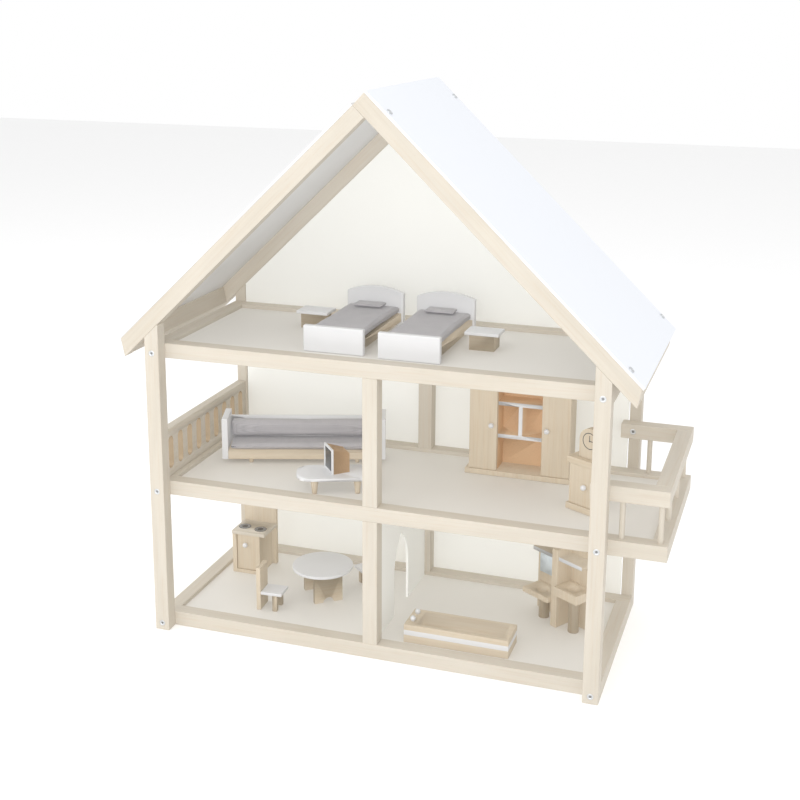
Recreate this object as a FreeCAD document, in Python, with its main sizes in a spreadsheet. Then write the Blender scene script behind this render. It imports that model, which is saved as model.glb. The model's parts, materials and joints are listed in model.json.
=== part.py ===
"""Wooden dollhouse with a steep two-leaf roof, a balcony and its furniture.

Origin: centre of the house footprint at floor level. +Z up, front towards -Y,
balcony towards +X. All sizes are millimetres.
"""
import FreeCAD, Part
import os
import re

import Sketcher

doc = FreeCAD.newDocument("Dollhouse")

# ---------------------------------------------------------------- sizes
SIZES = [
    ("house_width", 580, "outer width over the posts"),
    ("house_depth", 278, "outer depth over the posts"),
    ("post_width", 19, "front post, seen from the front"),
    ("post_depth", 18, "all posts, front to back"),
    ("rear_post_width", 15, "rear post, seen from the front"),
    ("rail_height", 19, "floor rails and handrails"),
    ("rail_depth", 19, "floor rails and handrails, on plan"),
    ("storey_height", 182, "underside of one floor frame to the next"),
    ("floor_drop", 5, "floor panel below the top of its rails"),
    ("floor_thick", 4, "floor panels"),
    ("panel_thick", 3, "back panels and partition"),
    ("panel_gap", 1.5, "back panel to rear post"),
    ("edge_round", 0.8, "eased edges of timber"),
    ("roof_rise", 56.95, "line of the roof above the attic frame at the house side"),
    ("ridge_height", "=2 * storey_height + roof_rise + house_width / 2 * tan(roof_angle)",
     "top corner of the front right rafter"),
    ("roof_angle", 44, "slope of both roof leaves in degrees"),
    ("rafter_deep", 20, "rafters, square to the slope"),
    ("eave_over", 33, "eave corner past the house side"),
    ("eave_reach", "=house_width / 2 + eave_over", "centre line to the eave corner"),
    ("eave_lean", 4.8, "inset of the lower eave corner"),
    ("eave_drop", 22.7, "height of the eave face"),
    ("eave_width", 19, "eave rail along the slope"),
    ("roof_thick", 3.2, "roof panels"),
    ("roof_over", 1.5, "roof panel past the eave face"),
    ("balcony_reach", 68, "balcony past the house side"),
    ("handrail_rise", 85, "handrail top above the storey line"),
    ("handrail_top", "=storey_height + handrail_rise", "top of the handrails"),
    ("handrail_start", 23, "handrail end inside the house side"),
    ("baluster_dia", 6.5, "dowels"),
    ("baluster_seat", 6, "depth of a dowel in its rail"),
    ("dowel_gap", 0.05, "dowel to hole, on the radius"),
    ("stile_width", 19, "centre stiles and studs"),
    ("railing_thick", 12, "slotted side railing"),
    ("railing_tall", 64, "slotted side railing above its rail"),
    ("slot_pitch", 25.8, "railing slots"),
    ("slot_width", 13.5, "railing slots"),
    ("slot_tall", 43, "railing slots"),
    ("arch_width", 58, "doorway in the partition"),
    ("arch_spring", 56, "straight part of the doorway above the floor"),
    ("arch_centre", 138, "doorway centre behind the face of the front posts"),
    ("bolt_head_dia", 7.6, "bolt heads"),
    ("bolt_head_tall", 2.6, "bolt heads"),
    ("bolt_dia", 4, "bolt shanks"),
    ("bolt_grip", 32, "bolt length under the head"),
    ("roof_bolt_grip", 17, "roof bolt length under the head"),
    ("bolt_gap", 0.15, "bolt to hole, on the radius"),
    ("soft_gap", 0.4, "clearance round soft pieces"),
    ("move_gap", 0.3, "clearance under and beside moving pieces"),
    ("board", 6, "thin furniture board"),
    ("thick_board", 8, "thick furniture board"),
    ("knob_dia", 7, "door knobs and taps"),
    ("bed_wide", 79, "bed"),
    ("bed_long", 163, "bed"),
    ("foot_tall", 33, "footboard"),
    ("head_tall", 44.5, "headboard at its corners"),
    ("head_rise", 8, "crown of the headboard"),
    ("mattress_tall", 11, "mattress"),
    ("bed_rail_base", 7, "underside of the bed rails"),
    ("bed_rail_tall", 11, "bed rails"),
    ("pillow_wide", 44, "pillow"),
    ("pillow_deep", 27, "pillow"),
    ("pillow_tall", 6, "pillow"),
    ("stand_wide", 44, "nightstand top"),
    ("stand_deep", 32, "nightstand top"),
    ("stand_tall", 23, "nightstand"),
    ("sofa_long", 218, "sofa over its end panels"),
    ("sofa_deep", 48, "sofa"),
    ("sofa_tall", 62, "sofa end panels above the floor"),
    ("sofa_back_tall", 53, "sofa back above the floor"),
    ("sofa_foot", 6, "sofa feet"),
    ("sofa_rail", 11, "sofa front rail"),
    ("seat_tall", 9, "sofa seat cushion"),
    ("back_soft", 17, "sofa back cushion"),
    ("slab_long", 100, "coffee table top"),
    ("slab_wide", 50, "coffee table top"),
    ("slab_round", 19, "corners of the coffee table top"),
    ("slab_thick", 4, "white table tops"),
    ("coffee_tall", 22, "coffee table"),
    ("tv_wide", 32, "television front"),
    ("tv_tall", 33, "television front"),
    ("tv_deep", 22, "television body"),
    ("tv_frame", 2.5, "television front frame"),
    ("ward_wide", 133, "wardrobe"),
    ("ward_deep", 33, "wardrobe without its doors"),
    ("ward_tall", 122, "wardrobe above the plinth"),
    ("ward_wing", 37, "wardrobe door sections"),
    ("ward_base", 7, "wardrobe plinth"),
    ("ward_lip", 5, "plinth past the wardrobe side"),
    ("door_thick", 5, "doors"),
    ("cab_wide", 40, "clock cabinet"),
    ("cab_deep", 25, "clock cabinet without its door"),
    ("cab_tall", 68, "clock cabinet"),
    ("cab_base", 8, "clock cabinet base and top"),
    ("clock_wide", 31, "mantel clock"),
    ("clock_tall", 38, "mantel clock"),
    ("clock_deep", 10, "mantel clock"),
    ("stove_wide", 50, "stove"),
    ("stove_deep", 43, "stove"),
    ("stove_tall", 62, "stove to its worktop"),
    ("stove_back", 118, "stove back board"),
    ("hob_dia", 17, "hobs"),
    ("round_dia", 82, "dining table top"),
    ("dining_tall", 44, "dining table"),
    ("leg_board", 39, "dining table leg boards"),
    ("leg_apart", 38, "dining table leg boards, gap between"),
    ("seat_wide", 27, "chair"),
    ("seat_deep", 29, "chair seat"),
    ("seat_high", 26, "chair seat"),
    ("chair_back", 59, "chair back"),
    ("tub_long", 135, "bathtub"),
    ("tub_wide", 46, "bathtub"),
    ("tub_tall", 24, "bathtub"),
    ("tub_wall", 6, "bathtub side walls"),
    ("tub_deck", 16, "bathtub deck for the taps"),
    ("wash_tall", 107, "washstand divider"),
    ("wash_deep", 26, "washstand bays"),
    ("wash_left", 50, "washstand left bay"),
    ("wash_right", 44, "washstand right bay"),
    ("wash_basin", 60, "washstand right basin above the floor"),
    ("wash_low", 39, "washstand left basin above the floor"),
    ("shelf_high", 93, "washstand shelves above the floor"),
]
NAMES = {alias for alias, value, note in SIZES}

sheet = doc.addObject("Spreadsheet::Sheet", "Sizes")
for line, (alias, value, note) in enumerate(SIZES, 1):
    sheet.set(f"A{line}", note)
    sheet.set(f"B{line}", str(value))
    sheet.setAlias(f"B{line}", alias)
doc.recompute()

# Planes that several pieces share, written as formulas over the sizes.
LEFT = "-house_width / 2"
RIGHT = "house_width / 2"
FRONT = "-house_depth / 2"
REAR = "house_depth / 2"
FRONT_RAIL = f"{FRONT} + post_depth"
FRONT_RAIL_IN = f"{FRONT} + post_depth + rail_depth"
REAR_RAIL = f"{REAR} - post_depth"
REAR_RAIL_IN = f"{REAR} - post_depth - rail_depth"
LEVELS = {"ground": "0", "middle": "storey_height", "attic": "2 * storey_height"}


def formula(text):
    """Bind every size named in the text to the sheet."""
    return re.sub(
        r"[a-z][a-z_]*",
        lambda word: f"Sizes.{word[0]}" if word[0] in NAMES else word[0],
        str(text),
    )


def number(text):
    """Value of a formula with the sizes as they stand."""
    return float(sheet.evalExpression(formula(text)))


def bind(piece, **formulas):
    for prop, text in formulas.items():
        piece.setExpression(prop.replace("__", "."), formula(text))


def place(piece, x="0", y="0", z="0"):
    bind(piece, Placement__Base__x=x, Placement__Base__y=y, Placement__Base__z=z)


def turn(piece, angle, axis=(0, 0, 1)):
    """Turn a piece about an axis through its own origin."""
    piece.Placement.Rotation = FreeCAD.Rotation(FreeCAD.Vector(*axis), angle)


def block(name, x, y, z):
    """Plain box between two formulas on each axis."""
    piece = doc.addObject("Part::Box", name)
    bind(
        piece,
        Length=f"({x[1]}) - ({x[0]})",
        Width=f"({y[1]}) - ({y[0]})",
        Height=f"({z[1]}) - ({z[0]})",
    )
    place(piece, x[0], y[0], z[0])
    return piece


def eased(base, name, radius="edge_round"):
    """The same piece with all its edges rounded."""
    doc.recompute()
    size = number(radius)
    piece = doc.addObject("Part::Fillet", name)
    piece.Base = base
    piece.Edges = [(i + 1, size, size) for i in range(len(base.Shape.Edges))]
    return piece


def bar(name, x, y, z, radius="edge_round"):
    """Box with eased edges."""
    return eased(block(f"{name}_core", x, y, z), name, radius)


def rod(name, radius, height, x, y, z, axis="z"):
    """Cylinder from a point along one axis."""
    piece = doc.addObject("Part::Cylinder", name)
    bind(piece, Radius=radius, Height=height)
    if axis == "y":
        turn(piece, -90, (1, 0, 0))
    if axis == "x":
        turn(piece, 90, (0, 1, 0))
    place(piece, x, y, z)
    return piece


def joined(name, pieces):
    """Glued pieces as one solid."""
    piece = doc.addObject("Part::MultiFuse", name)
    piece.Shapes = pieces
    return piece


def grouped(name, pieces):
    """Separate solids that share one name."""
    piece = doc.addObject("Part::Compound", name)
    piece.Links = pieces
    return piece


def cut(name, base, tools):
    """Base with every tool taken out."""
    piece = doc.addObject("Part::Cut", name)
    piece.Base = base
    piece.Tool = tools[0] if len(tools) == 1 else joined(f"{name}_tools", tools)
    return piece


def prism(name, corners, y_start, depth, ease=True):
    """Outline drawn in the XZ plane and carried back from y_start."""
    body = doc.addObject("PartDesign::Body", f"{name}_body" if ease else name)
    sketch = body.newObject("Sketcher::SketchObject", f"{name}_outline")
    planes = {item.Role: item for item in body.Origin.OriginFeatures}
    sketch.AttachmentSupport = [(planes["XZ_Plane"], "")]
    sketch.MapMode = "FlatFace"
    points = [FreeCAD.Vector(number(x), number(z), 0) for x, z in corners]
    for i, point in enumerate(points):
        sketch.addGeometry(Part.LineSegment(point, points[(i + 1) % len(points)]), False)
    for i in range(len(points)):
        sketch.addConstraint(Sketcher.Constraint("Coincident", i, 2, (i + 1) % len(points), 1))
    for i, (x, z) in enumerate(corners):
        for kind, text, value in (("DistanceX", x, points[i].x), ("DistanceY", z, points[i].y)):
            row = sketch.addConstraint(Sketcher.Constraint(kind, -1, 1, i, 1, value))
            sketch.setExpression(f"Constraints[{row}]", formula(text))
    pad = body.newObject("PartDesign::Pad", f"{name}_pad")
    pad.Profile = sketch
    pad.Reversed = True
    bind(pad, Length=depth)
    place(body, "0", y_start, "0")
    doc.recompute()
    if not ease:
        return body
    return eased(body, name)


nodes = []


def keep(piece):
    """Mark a finished piece as one of the object's parts."""
    piece.Label = piece.Name
    nodes.append(piece)
    return piece


# ---------------------------------------------------------------- bolts
bolts = []


def bolt(tag, x, y, z, way, grip="bolt_grip"):
    """Sunk bolt whose head is flush at a point; way is +1 or -1 along Y."""
    sign = "" if way > 0 else "-"
    face = f"({y})"
    head = rod(f"{tag}_head", "bolt_head_dia / 2", "bolt_head_tall", x, face, z, "y")
    shank = rod(f"{tag}_shank", "bolt_dia / 2", f"{grip} + bolt_head_tall", x, face, z, "y")
    recess = rod(
        f"{tag}_recess", "bolt_head_dia / 2 + bolt_gap", "bolt_head_tall + 1", x, f"{face} - 1", z, "y"
    )
    hole = rod(
        f"{tag}_hole", "bolt_dia / 2 + bolt_gap", f"{grip} + bolt_head_tall + 1", x, face, z, "y"
    )
    if way < 0:
        place(head, x, f"{face} - bolt_head_tall", z)
        place(shank, x, f"{face} - bolt_head_tall - {grip}", z)
        place(recess, x, f"{face} - bolt_head_tall", z)
        place(hole, x, f"{face} - bolt_head_tall - {grip} - 1", z)
    bolts.append(joined(tag, [head, shank]))
    return [recess, hole]


def copies(tools, tag):
    """Second set of the same cutters for the next piece along."""
    out = []
    for tool in tools:
        twin = doc.addObject("Part::Cylinder", f"{tool.Name}_{tag}")
        for prop in ("Radius", "Height"):
            twin.setExpression(prop, dict(tool.ExpressionEngine)[prop])
        twin.Placement.Rotation = tool.Placement.Rotation
        for prop, text in tool.ExpressionEngine:
            if "Base" in prop:
                twin.setExpression(prop.lstrip("."), text)
        out.append(twin)
    return out


POST_X = {"left": "-house_width / 2 + post_width / 2", "right": "house_width / 2 - post_width / 2"}
REAR_POST_X = {
    "left": "-house_width / 2 + rear_post_width / 2",
    "right": "house_width / 2 - rear_post_width / 2",
}
post_holes = {}
for level, base in LEVELS.items():
    for side in ("left", "right"):
        mid = f"{base} + rail_height / 2"
        post_holes["front", side, level] = bolt(
            f"bolt_front_{side}_{level}", POST_X[side], FRONT, mid, 1
        )
        post_holes["rear", side, level] = bolt(
            f"bolt_rear_{side}_{level}", REAR_POST_X[side], REAR, mid, -1
        )
# The handrail bolts are driven from the balcony side of each rail.
handrail_mid = "handrail_top - rail_height / 2"
hand_holes = {
    "front": bolt("bolt_handrail_front", POST_X["right"], FRONT_RAIL_IN, handrail_mid, -1),
    "rear": bolt("bolt_handrail_rear", REAR_POST_X["right"], REAR_RAIL_IN, handrail_mid, 1),
}

# ---------------------------------------------------------------- posts
# Post tops follow the underside of the rafters.
SLOPE = "tan(roof_angle)"
UNDER_DROP = "rafter_deep / cos(roof_angle)"


def under_roof(x):
    """Height of the rafters' underside at a distance from the centre line."""
    return f"ridge_height - {UNDER_DROP} - ({x}) * {SLOPE}"


def post(name, side, row, width):
    inner = f"house_width / 2 - {width}"
    outer = "house_width / 2"
    low, high = under_roof(outer), under_roof(inner)
    if side == "left":
        corners = [
            (f"-({outer})", "0"), (f"-({inner})", "0"), (f"-({inner})", high), (f"-({outer})", low),
        ]
    else:
        corners = [(inner, "0"), (outer, "0"), (outer, low), (inner, high)]
    start = FRONT if row == "front" else REAR_RAIL
    blank = prism(f"{name}_blank", corners, start, "post_depth")
    tools = []
    for level in LEVELS:
        tools += copies(post_holes[row, side, level], "post")
    if side == "right":
        tools += copies(hand_holes[row], "post")
    return keep(cut(name, blank, tools))


post("post_front_left", "left", "front", "post_width")
post("post_front_right", "right", "front", "post_width")
post("post_rear_left", "left", "rear", "rear_post_width")
post("post_rear_right", "right", "rear", "rear_post_width")

# ---------------------------------------------------------------- balusters
BALCONY_OUT = "house_width / 2 + balcony_reach"
BALCONY_IN = f"{BALCONY_OUT} - rail_depth"
hand_low = "handrail_top - rail_height"
outer_x = f"{BALCONY_OUT} - rail_depth / 2"
near_x = "house_width / 2 + rail_depth * 0.75"
front_y = f"{FRONT} + post_depth + rail_depth / 2"
rear_y = f"{REAR} - post_depth - rail_depth / 2"
side_y = "house_depth / 2 - post_depth - rail_depth / 2"
BALUSTERS = {
    "front": [(near_x, front_y), (outer_x, front_y)],
    "rear": [(near_x, rear_y), (outer_x, rear_y)],
    "side": [(outer_x, f"-({side_y}) / 3"), (outer_x, f"({side_y}) / 3")],
}
rail_top = "storey_height + rail_height"
dowels = []


def dowel_holes(where, low, height, tag):
    """Cutters for the dowel ends in one rail."""
    return [
        rod(f"hole_{tag}_{where}_{i}", "baluster_dia / 2 + dowel_gap", height, x, y, low)
        for i, (x, y) in enumerate(BALUSTERS[where])
    ]


for where, spots in BALUSTERS.items():
    for i, (x, y) in enumerate(spots):
        length = f"{hand_low} - ({rail_top}) + 2 * baluster_seat"
        dowels.append(rod(
            f"baluster_{where}_{i}", "baluster_dia / 2", length, x, y, f"{rail_top} - baluster_seat"
        ))
keep(grouped("balusters", dowels))

# ---------------------------------------------------------------- floor frames
for level, base in LEVELS.items():
    top = f"{base} + rail_height"
    end = BALCONY_OUT if level == "middle" else RIGHT
    for row, y in (("front", (FRONT_RAIL, FRONT_RAIL_IN)), ("rear", (REAR_RAIL_IN, REAR_RAIL))):
        name = f"{level}_rail_{row}"
        blank = bar(f"{name}_blank", (LEFT, end), y, (base, top))
        tools = copies(post_holes[row, "left", level], "rail")
        tools += copies(post_holes[row, "right", level], "rail")
        if level == "middle":
            tools += dowel_holes(row, f"{rail_top} - baluster_seat", "baluster_seat + 1", "low")
        keep(cut(name, blank, tools))
    span = (FRONT_RAIL_IN, REAR_RAIL_IN)
    under_floor = f"{top} - floor_drop - floor_thick"
    # The middle floor runs out over its right rail to the balcony.
    right_top = under_floor if level == "middle" else top
    sides = [
        bar(f"{level}_rail_left", (LEFT, f"{LEFT} + rail_depth"), span, (base, top)),
        bar(f"{level}_rail_right", (f"{RIGHT} - rail_depth", RIGHT), span, (base, right_top)),
    ]
    if level == "ground":
        centre_x = ("-stile_width / 2", "stile_width / 2")
        sides.append(bar("ground_rail_centre", centre_x, span, (base, under_floor)))
    if level == "middle":
        blank = bar("balcony_rail_blank", (BALCONY_IN, BALCONY_OUT), span, (base, top))
        tools = dowel_holes("side", f"{rail_top} - baluster_seat", "baluster_seat + 1", "low")
        sides.append(cut("balcony_rail", blank, tools))
    keep(grouped(f"{level}_rails_side", sides))
    floor_z = (under_floor, f"{top} - floor_drop")
    keep(block(f"floor_{level}", (f"{LEFT} + rail_depth", f"{RIGHT} - rail_depth"), span, floor_z))
balcony_z = (f"{rail_top} - floor_drop - floor_thick", f"{rail_top} - floor_drop")
balcony_x = (f"{RIGHT} - rail_depth", BALCONY_IN)
keep(block("floor_balcony", balcony_x, (FRONT_RAIL_IN, REAR_RAIL_IN), balcony_z))

# ---------------------------------------------------------------- handrails
hand_z = (hand_low, "handrail_top")
hand_x = (f"{RIGHT} - handrail_start", BALCONY_OUT)
handrails = []
for row, y in (("front", (FRONT_RAIL, FRONT_RAIL_IN)), ("rear", (REAR_RAIL_IN, REAR_RAIL))):
    blank = bar(f"handrail_{row}_blank", hand_x, y, hand_z)
    tools = copies(hand_holes[row], "hand")
    tools += dowel_holes(row, f"{hand_low} - 1", "baluster_seat + 1", "top")
    handrails.append(cut(f"handrail_{row}", blank, tools))
keep(grouped("handrails_long", handrails))
blank = bar("handrail_side_blank", (BALCONY_IN, BALCONY_OUT), (FRONT_RAIL_IN, REAR_RAIL_IN), hand_z)
keep(cut("handrail_side", blank, dowel_holes("side", f"{hand_low} - 1", "baluster_seat + 1", "top")))

# ---------------------------------------------------------------- walls
wall_y = REAR_RAIL
wall_x = "house_width / 2 - rear_post_width - panel_gap"
keep(block(
    "back_panel_ground", (f"-({wall_x})", wall_x), (wall_y, f"{wall_y} + panel_thick"),
    ("0", "storey_height + rail_height / 2"),
))
keep(block(
    "back_panel_middle", (f"-({wall_x})", wall_x), (wall_y, f"{wall_y} + panel_thick"),
    ("storey_height + rail_height / 2", "2 * storey_height + rail_height / 2"),
))
gable_low = "2 * storey_height + rail_height / 2"
gable_top = f"ridge_height - {UNDER_DROP} - move_gap"
gable = [
    (f"-({wall_x})", gable_low),
    (wall_x, gable_low),
    (wall_x, f"{under_roof(wall_x)} - move_gap"),
    ("0", gable_top),
    (f"-({wall_x})", f"{under_roof(wall_x)} - move_gap"),
]
keep(prism("back_panel_gable", gable, wall_y, "panel_thick", ease=False))

half_stile = "stile_width / 2"
stile_x = (f"-({half_stile})", half_stile)
LIFTS = {
    "ground": ("rail_height", "storey_height"),
    "middle": ("storey_height + rail_height", "2 * storey_height"),
}
keep(grouped("stiles_front", [
    bar(f"stile_{level}", stile_x, (FRONT_RAIL, FRONT_RAIL_IN), z) for level, z in LIFTS.items()
]))
keep(grouped("studs_rear", [
    bar(f"stud_{level}", stile_x, (REAR_RAIL_IN, REAR_RAIL), z) for level, z in LIFTS.items()
]))

# The doorway is a pointed arch: two circles as wide as the opening meet over its middle.
floor_top = "rail_height - floor_drop"
part_x = ("-panel_thick / 2", "panel_thick / 2")
wall = block("partition_blank", part_x, (FRONT_RAIL_IN, REAR_RAIL_IN), (floor_top, "storey_height"))
arch_mid = f"({FRONT} + arch_centre)"
door_low = block(
    "doorway_low", ("-panel_thick", "panel_thick"),
    (f"{arch_mid} - arch_width / 2", f"{arch_mid} + arch_width / 2"),
    (f"{floor_top} - 1", f"{floor_top} + arch_spring"),
)
arcs = [
    rod(
        f"doorway_arc_{i}", "arch_width", "2 * panel_thick", "-panel_thick",
        f"{arch_mid} {sign} arch_width / 2", f"{floor_top} + arch_spring", "x",
    )
    for i, sign in enumerate("+-")
]
arch = doc.addObject("Part::MultiCommon", "doorway_arch")
arch.Shapes = arcs
keep(cut("partition_arch", wall, [door_low, arch]))

railing = bar(
    "railing_blank", (LEFT, f"{LEFT} + railing_thick"), (FRONT_RAIL, REAR_RAIL),
    ("storey_height + rail_height", "storey_height + rail_height + railing_tall"),
)
slot_mid = "storey_height + rail_height + railing_tall / 2"
slots = []
for i in range(-4, 5):
    y = f"{i} * slot_pitch"
    reach = "slot_tall / 2 - slot_width / 2"
    slots.append(block(
        f"slot_{i + 4}", (f"{LEFT} - 1", f"{LEFT} + railing_thick + 1"),
        (f"{y} - slot_width / 2", f"{y} + slot_width / 2"),
        (f"{slot_mid} - ({reach})", f"{slot_mid} + {reach}"),
    ))
    for end, sign in (("low", "-"), ("top", "+")):
        slots.append(rod(
            f"slot_{end}_{i + 4}", "slot_width / 2", "railing_thick + 2", f"{LEFT} - 1", y,
            f"{slot_mid} {sign} ({reach})", "x",
        ))
keep(cut("railing_left", railing, slots))

# ---------------------------------------------------------------- roof
SIN = "sin(roof_angle)"
COS = "cos(roof_angle)"
eave_z = f"ridge_height - eave_reach * {SLOPE}"
ridge_low = (f"-rafter_deep * {SIN}", f"ridge_height - rafter_deep * {COS}")
tip_x = "eave_reach - eave_lean"
tip_z = f"{eave_z} - eave_drop"


# The left rafters start under the right ones, so their slope is a little flatter.
left_run = f"(eave_reach - rafter_deep * {SIN})"
left_fall = f"(eave_reach * {SLOPE} - rafter_deep * {COS})"
left_length = f"sqrt({left_run} * {left_run} + {left_fall} * {left_fall})"
SLOPES = {
    "right": (COS, SIN),
    "left": (f"({left_run} / {left_length})", f"({left_fall} / {left_length})"),
}


def eave_corners(side, inset):
    """Corners of the leaning eave face, moved up the slope: top, bottom and the rafter's end."""
    level, steep = SLOPES[side]
    top = (f"(eave_reach - {inset} * {level})", f"({eave_z} + {inset} * {steep})")
    low = (f"({tip_x} - {inset} * {level})", f"({tip_z} + {inset} * {steep})")
    above = f"({top[1]} - ridge_height + {UNDER_DROP} + {top[0]} * {SLOPE})"
    end_x = f"({top[0]} - eave_lean * {above} / (eave_drop + eave_lean * {SLOPE}))"
    return top, low, (end_x, under_roof(end_x))


def mirror(corners):
    """Outline on the other side of the centre line."""
    return [(f"-({x})", z) for x, z in reversed(corners)]


left_start = [
    (f"rafter_deep * {SIN}", f"ridge_height - rafter_deep * {COS}"),
    ("0", f"ridge_height - {UNDER_DROP}"),
]
RAFTERS = {}
EAVES = {}
for side, start in (("right", [("0", "ridge_height"), ridge_low]), ("left", left_start)):
    for row, inset in (("front", "0"), ("rear", "eave_width")):
        top, low, end = eave_corners(side, inset)
        outline = start + [end, top]
        RAFTERS[row, side] = outline if side == "right" else mirror(outline)
    outline = [top, low, (tip_x, tip_z), ("eave_reach", eave_z)]
    EAVES[side] = outline if side == "right" else mirror(outline)

# Roof bolts stand square to the slope, through the panel into the rafter.
roof_spots = {"upper": "25 / cos(roof_angle)", "lower": "eave_reach / cos(roof_angle) - 23"}
roof_rows = {"front": f"{FRONT} + post_depth / 2", "rear": f"{REAR} - post_depth / 2"}
roof_cuts = {}

TILTS = {"right": "roof_angle", "left": f"-atan({left_fall} / {left_run})"}


def leaf_point(side, along, lift):
    """X and Z at a distance down the slope and above the rafters."""
    if side == "right":
        x = f"(({along}) * {COS} + ({lift}) * {SIN})"
        return x, f"ridge_height - ({along}) * {SIN} + ({lift}) * {COS}"
    level, steep = SLOPES["left"]
    x = f"-(rafter_deep * {SIN} + ({along}) * {level} + ({lift}) * {steep})"
    return x, f"ridge_height - rafter_deep * {COS} - ({along}) * {steep} + ({lift}) * {level}"


def roof_bolt(side, row, spot):
    tag = f"roof_bolt_{side}_{row}_{spot}"
    along = roof_spots[spot]
    if side == "left":
        along = f"{along} - rafter_deep * {SLOPE}"
    y = roof_rows[row]

    def stud(name, radius, low, high):
        piece = doc.addObject("Part::Cylinder", name)
        bind(piece, Radius=radius, Height=f"({high}) - ({low})")
        x, z = leaf_point(side, along, low)
        place(piece, x, y, z)
        turn(piece, number(TILTS[side]), (0, 1, 0))
        if side == "right":
            bind(piece, Placement__Rotation__Angle=TILTS[side])
        return piece

    shank = stud(f"{tag}_shank", "bolt_dia / 2", "roof_thick - roof_bolt_grip", "roof_thick")
    head = stud(f"{tag}_head", "bolt_head_dia / 2", "roof_thick", "roof_thick + bolt_head_tall / 2")
    bolts.append(joined(tag, [shank, head]))
    for layer in ("rafter", "panel"):
        hole = stud(
            f"{tag}_{layer}_hole", "bolt_dia / 2 + bolt_gap",
            "roof_thick - roof_bolt_grip - 1", "roof_thick + 1",
        )
        roof_cuts.setdefault((layer, side, row), []).append(hole)


for side in ("left", "right"):
    for row in ("front", "rear"):
        for spot in ("upper", "lower"):
            roof_bolt(side, row, spot)

for (row, side), outline in RAFTERS.items():
    start = FRONT if row == "front" else REAR_RAIL
    blank = prism(f"rafter_{row}_{side}_blank", outline, start, "post_depth")
    keep(cut(f"rafter_{row}_{side}", blank, roof_cuts["rafter", side, row]))

eaves = []
for side, outline in EAVES.items():
    eaves.append(prism(f"eave_rail_{side}", outline, FRONT_RAIL, "house_depth - post_depth"))
keep(grouped("eave_rails", eaves))

slope_long = f"eave_reach / {COS} + roof_over"
panel_right = [
    leaf_point("right", "0", "0"),
    leaf_point("right", slope_long, "0"),
    leaf_point("right", slope_long, "roof_thick"),
    leaf_point("right", "0", "roof_thick"),
]
panel_left = [
    leaf_point("left", "move_gap", "0"),
    leaf_point("left", "move_gap", "roof_thick"),
    leaf_point("left", f"{left_length} + roof_over", "roof_thick"),
    leaf_point("left", f"{left_length} + roof_over", "0"),
]
for side, outline in (("right", panel_right), ("left", panel_left)):
    blank = prism(f"roof_panel_{side}_blank", outline, FRONT, "house_depth", ease=False)
    tools = roof_cuts["panel", side, "front"] + roof_cuts["panel", side, "rear"]
    keep(cut(f"roof_panel_{side}", blank, tools))
keep(grouped("bolts", bolts))

# ---------------------------------------------------------------- furniture
FLOOR = {
    "ground": "rail_height - floor_drop",
    "middle": "storey_height + rail_height - floor_drop",
    "attic": "2 * storey_height + rail_height - floor_drop",
}


def settle(piece, level, x, y, angle, lift="move_gap"):
    """Stand a piece, drawn about its own origin, on a floor of the house."""
    turn(piece, angle)
    place(piece, x, f"{FRONT} + {y}", f"{FLOOR[level]} + {lift}")
    return keep(piece)


# Beds: boards at both ends, two side rails and a base under the mattress.
half_bed = "bed_wide / 2"
BED_BASE = "bed_rail_base + bed_rail_tall"
for side, x, y in (("left", -62.5, 59), ("right", 36.2, 55.5)):
    foot = bar(
        f"bed_{side}_foot", (f"-{half_bed}", half_bed), ("0", "thick_board"), ("0", "foot_tall"),
        "2 * edge_round",
    )
    head = block(
        f"bed_{side}_head_core", (f"-{half_bed}", half_bed), ("bed_long - thick_board", "bed_long"),
        ("0", "head_tall + head_rise"),
    )
    crown_radius = "(bed_wide * bed_wide / 4 + head_rise * head_rise) / (2 * head_rise)"
    crown = rod(
        f"bed_{side}_crown", crown_radius, "thick_board", "0", "bed_long - thick_board",
        f"head_tall + head_rise - {crown_radius}", "y",
    )
    arched = doc.addObject("Part::MultiCommon", f"bed_{side}_arched")
    arched.Shapes = [head, crown]
    parts = [foot, eased(arched, f"bed_{side}_head")]
    for i, way in enumerate((-1, 1)):
        edge = f"{way} * ({half_bed} - 3)"
        inner = f"{way} * ({half_bed} - 3 - board)"
        limits = (inner, edge) if way > 0 else (edge, inner)
        parts.append(block(
            f"bed_{side}_rail_{i}", limits, ("thick_board", "bed_long - thick_board"),
            ("bed_rail_base", BED_BASE),
        ))
    parts.append(block(
        f"bed_{side}_base", (f"-{half_bed} + 3 + board", f"{half_bed} - 3 - board"),
        ("thick_board", "bed_long - thick_board"), (f"{BED_BASE} - 4", BED_BASE),
    ))
    settle(joined(f"bed_{side}", parts), "attic", x, y, 0)
    soft = bar(
        f"mattress_{side}", (f"-{half_bed} + 2", f"{half_bed} - 2"),
        ("thick_board + soft_gap", "bed_long - thick_board - soft_gap"),
        (f"{BED_BASE} + soft_gap", f"{BED_BASE} + soft_gap + mattress_tall"), "3 * edge_round",
    )
    settle(soft, "attic", x, y, 0)
    pillow_base = f"{BED_BASE} + mattress_tall + 2 * soft_gap"
    pillow = bar(
        f"pillow_{side}", ("-pillow_wide / 2", "pillow_wide / 2"),
        ("bed_long - thick_board - 7 - pillow_deep", "bed_long - thick_board - 7"),
        (pillow_base, f"{pillow_base} + pillow_tall"), "3 * edge_round",
    )
    settle(pillow, "attic", x, y, 0)

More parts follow.
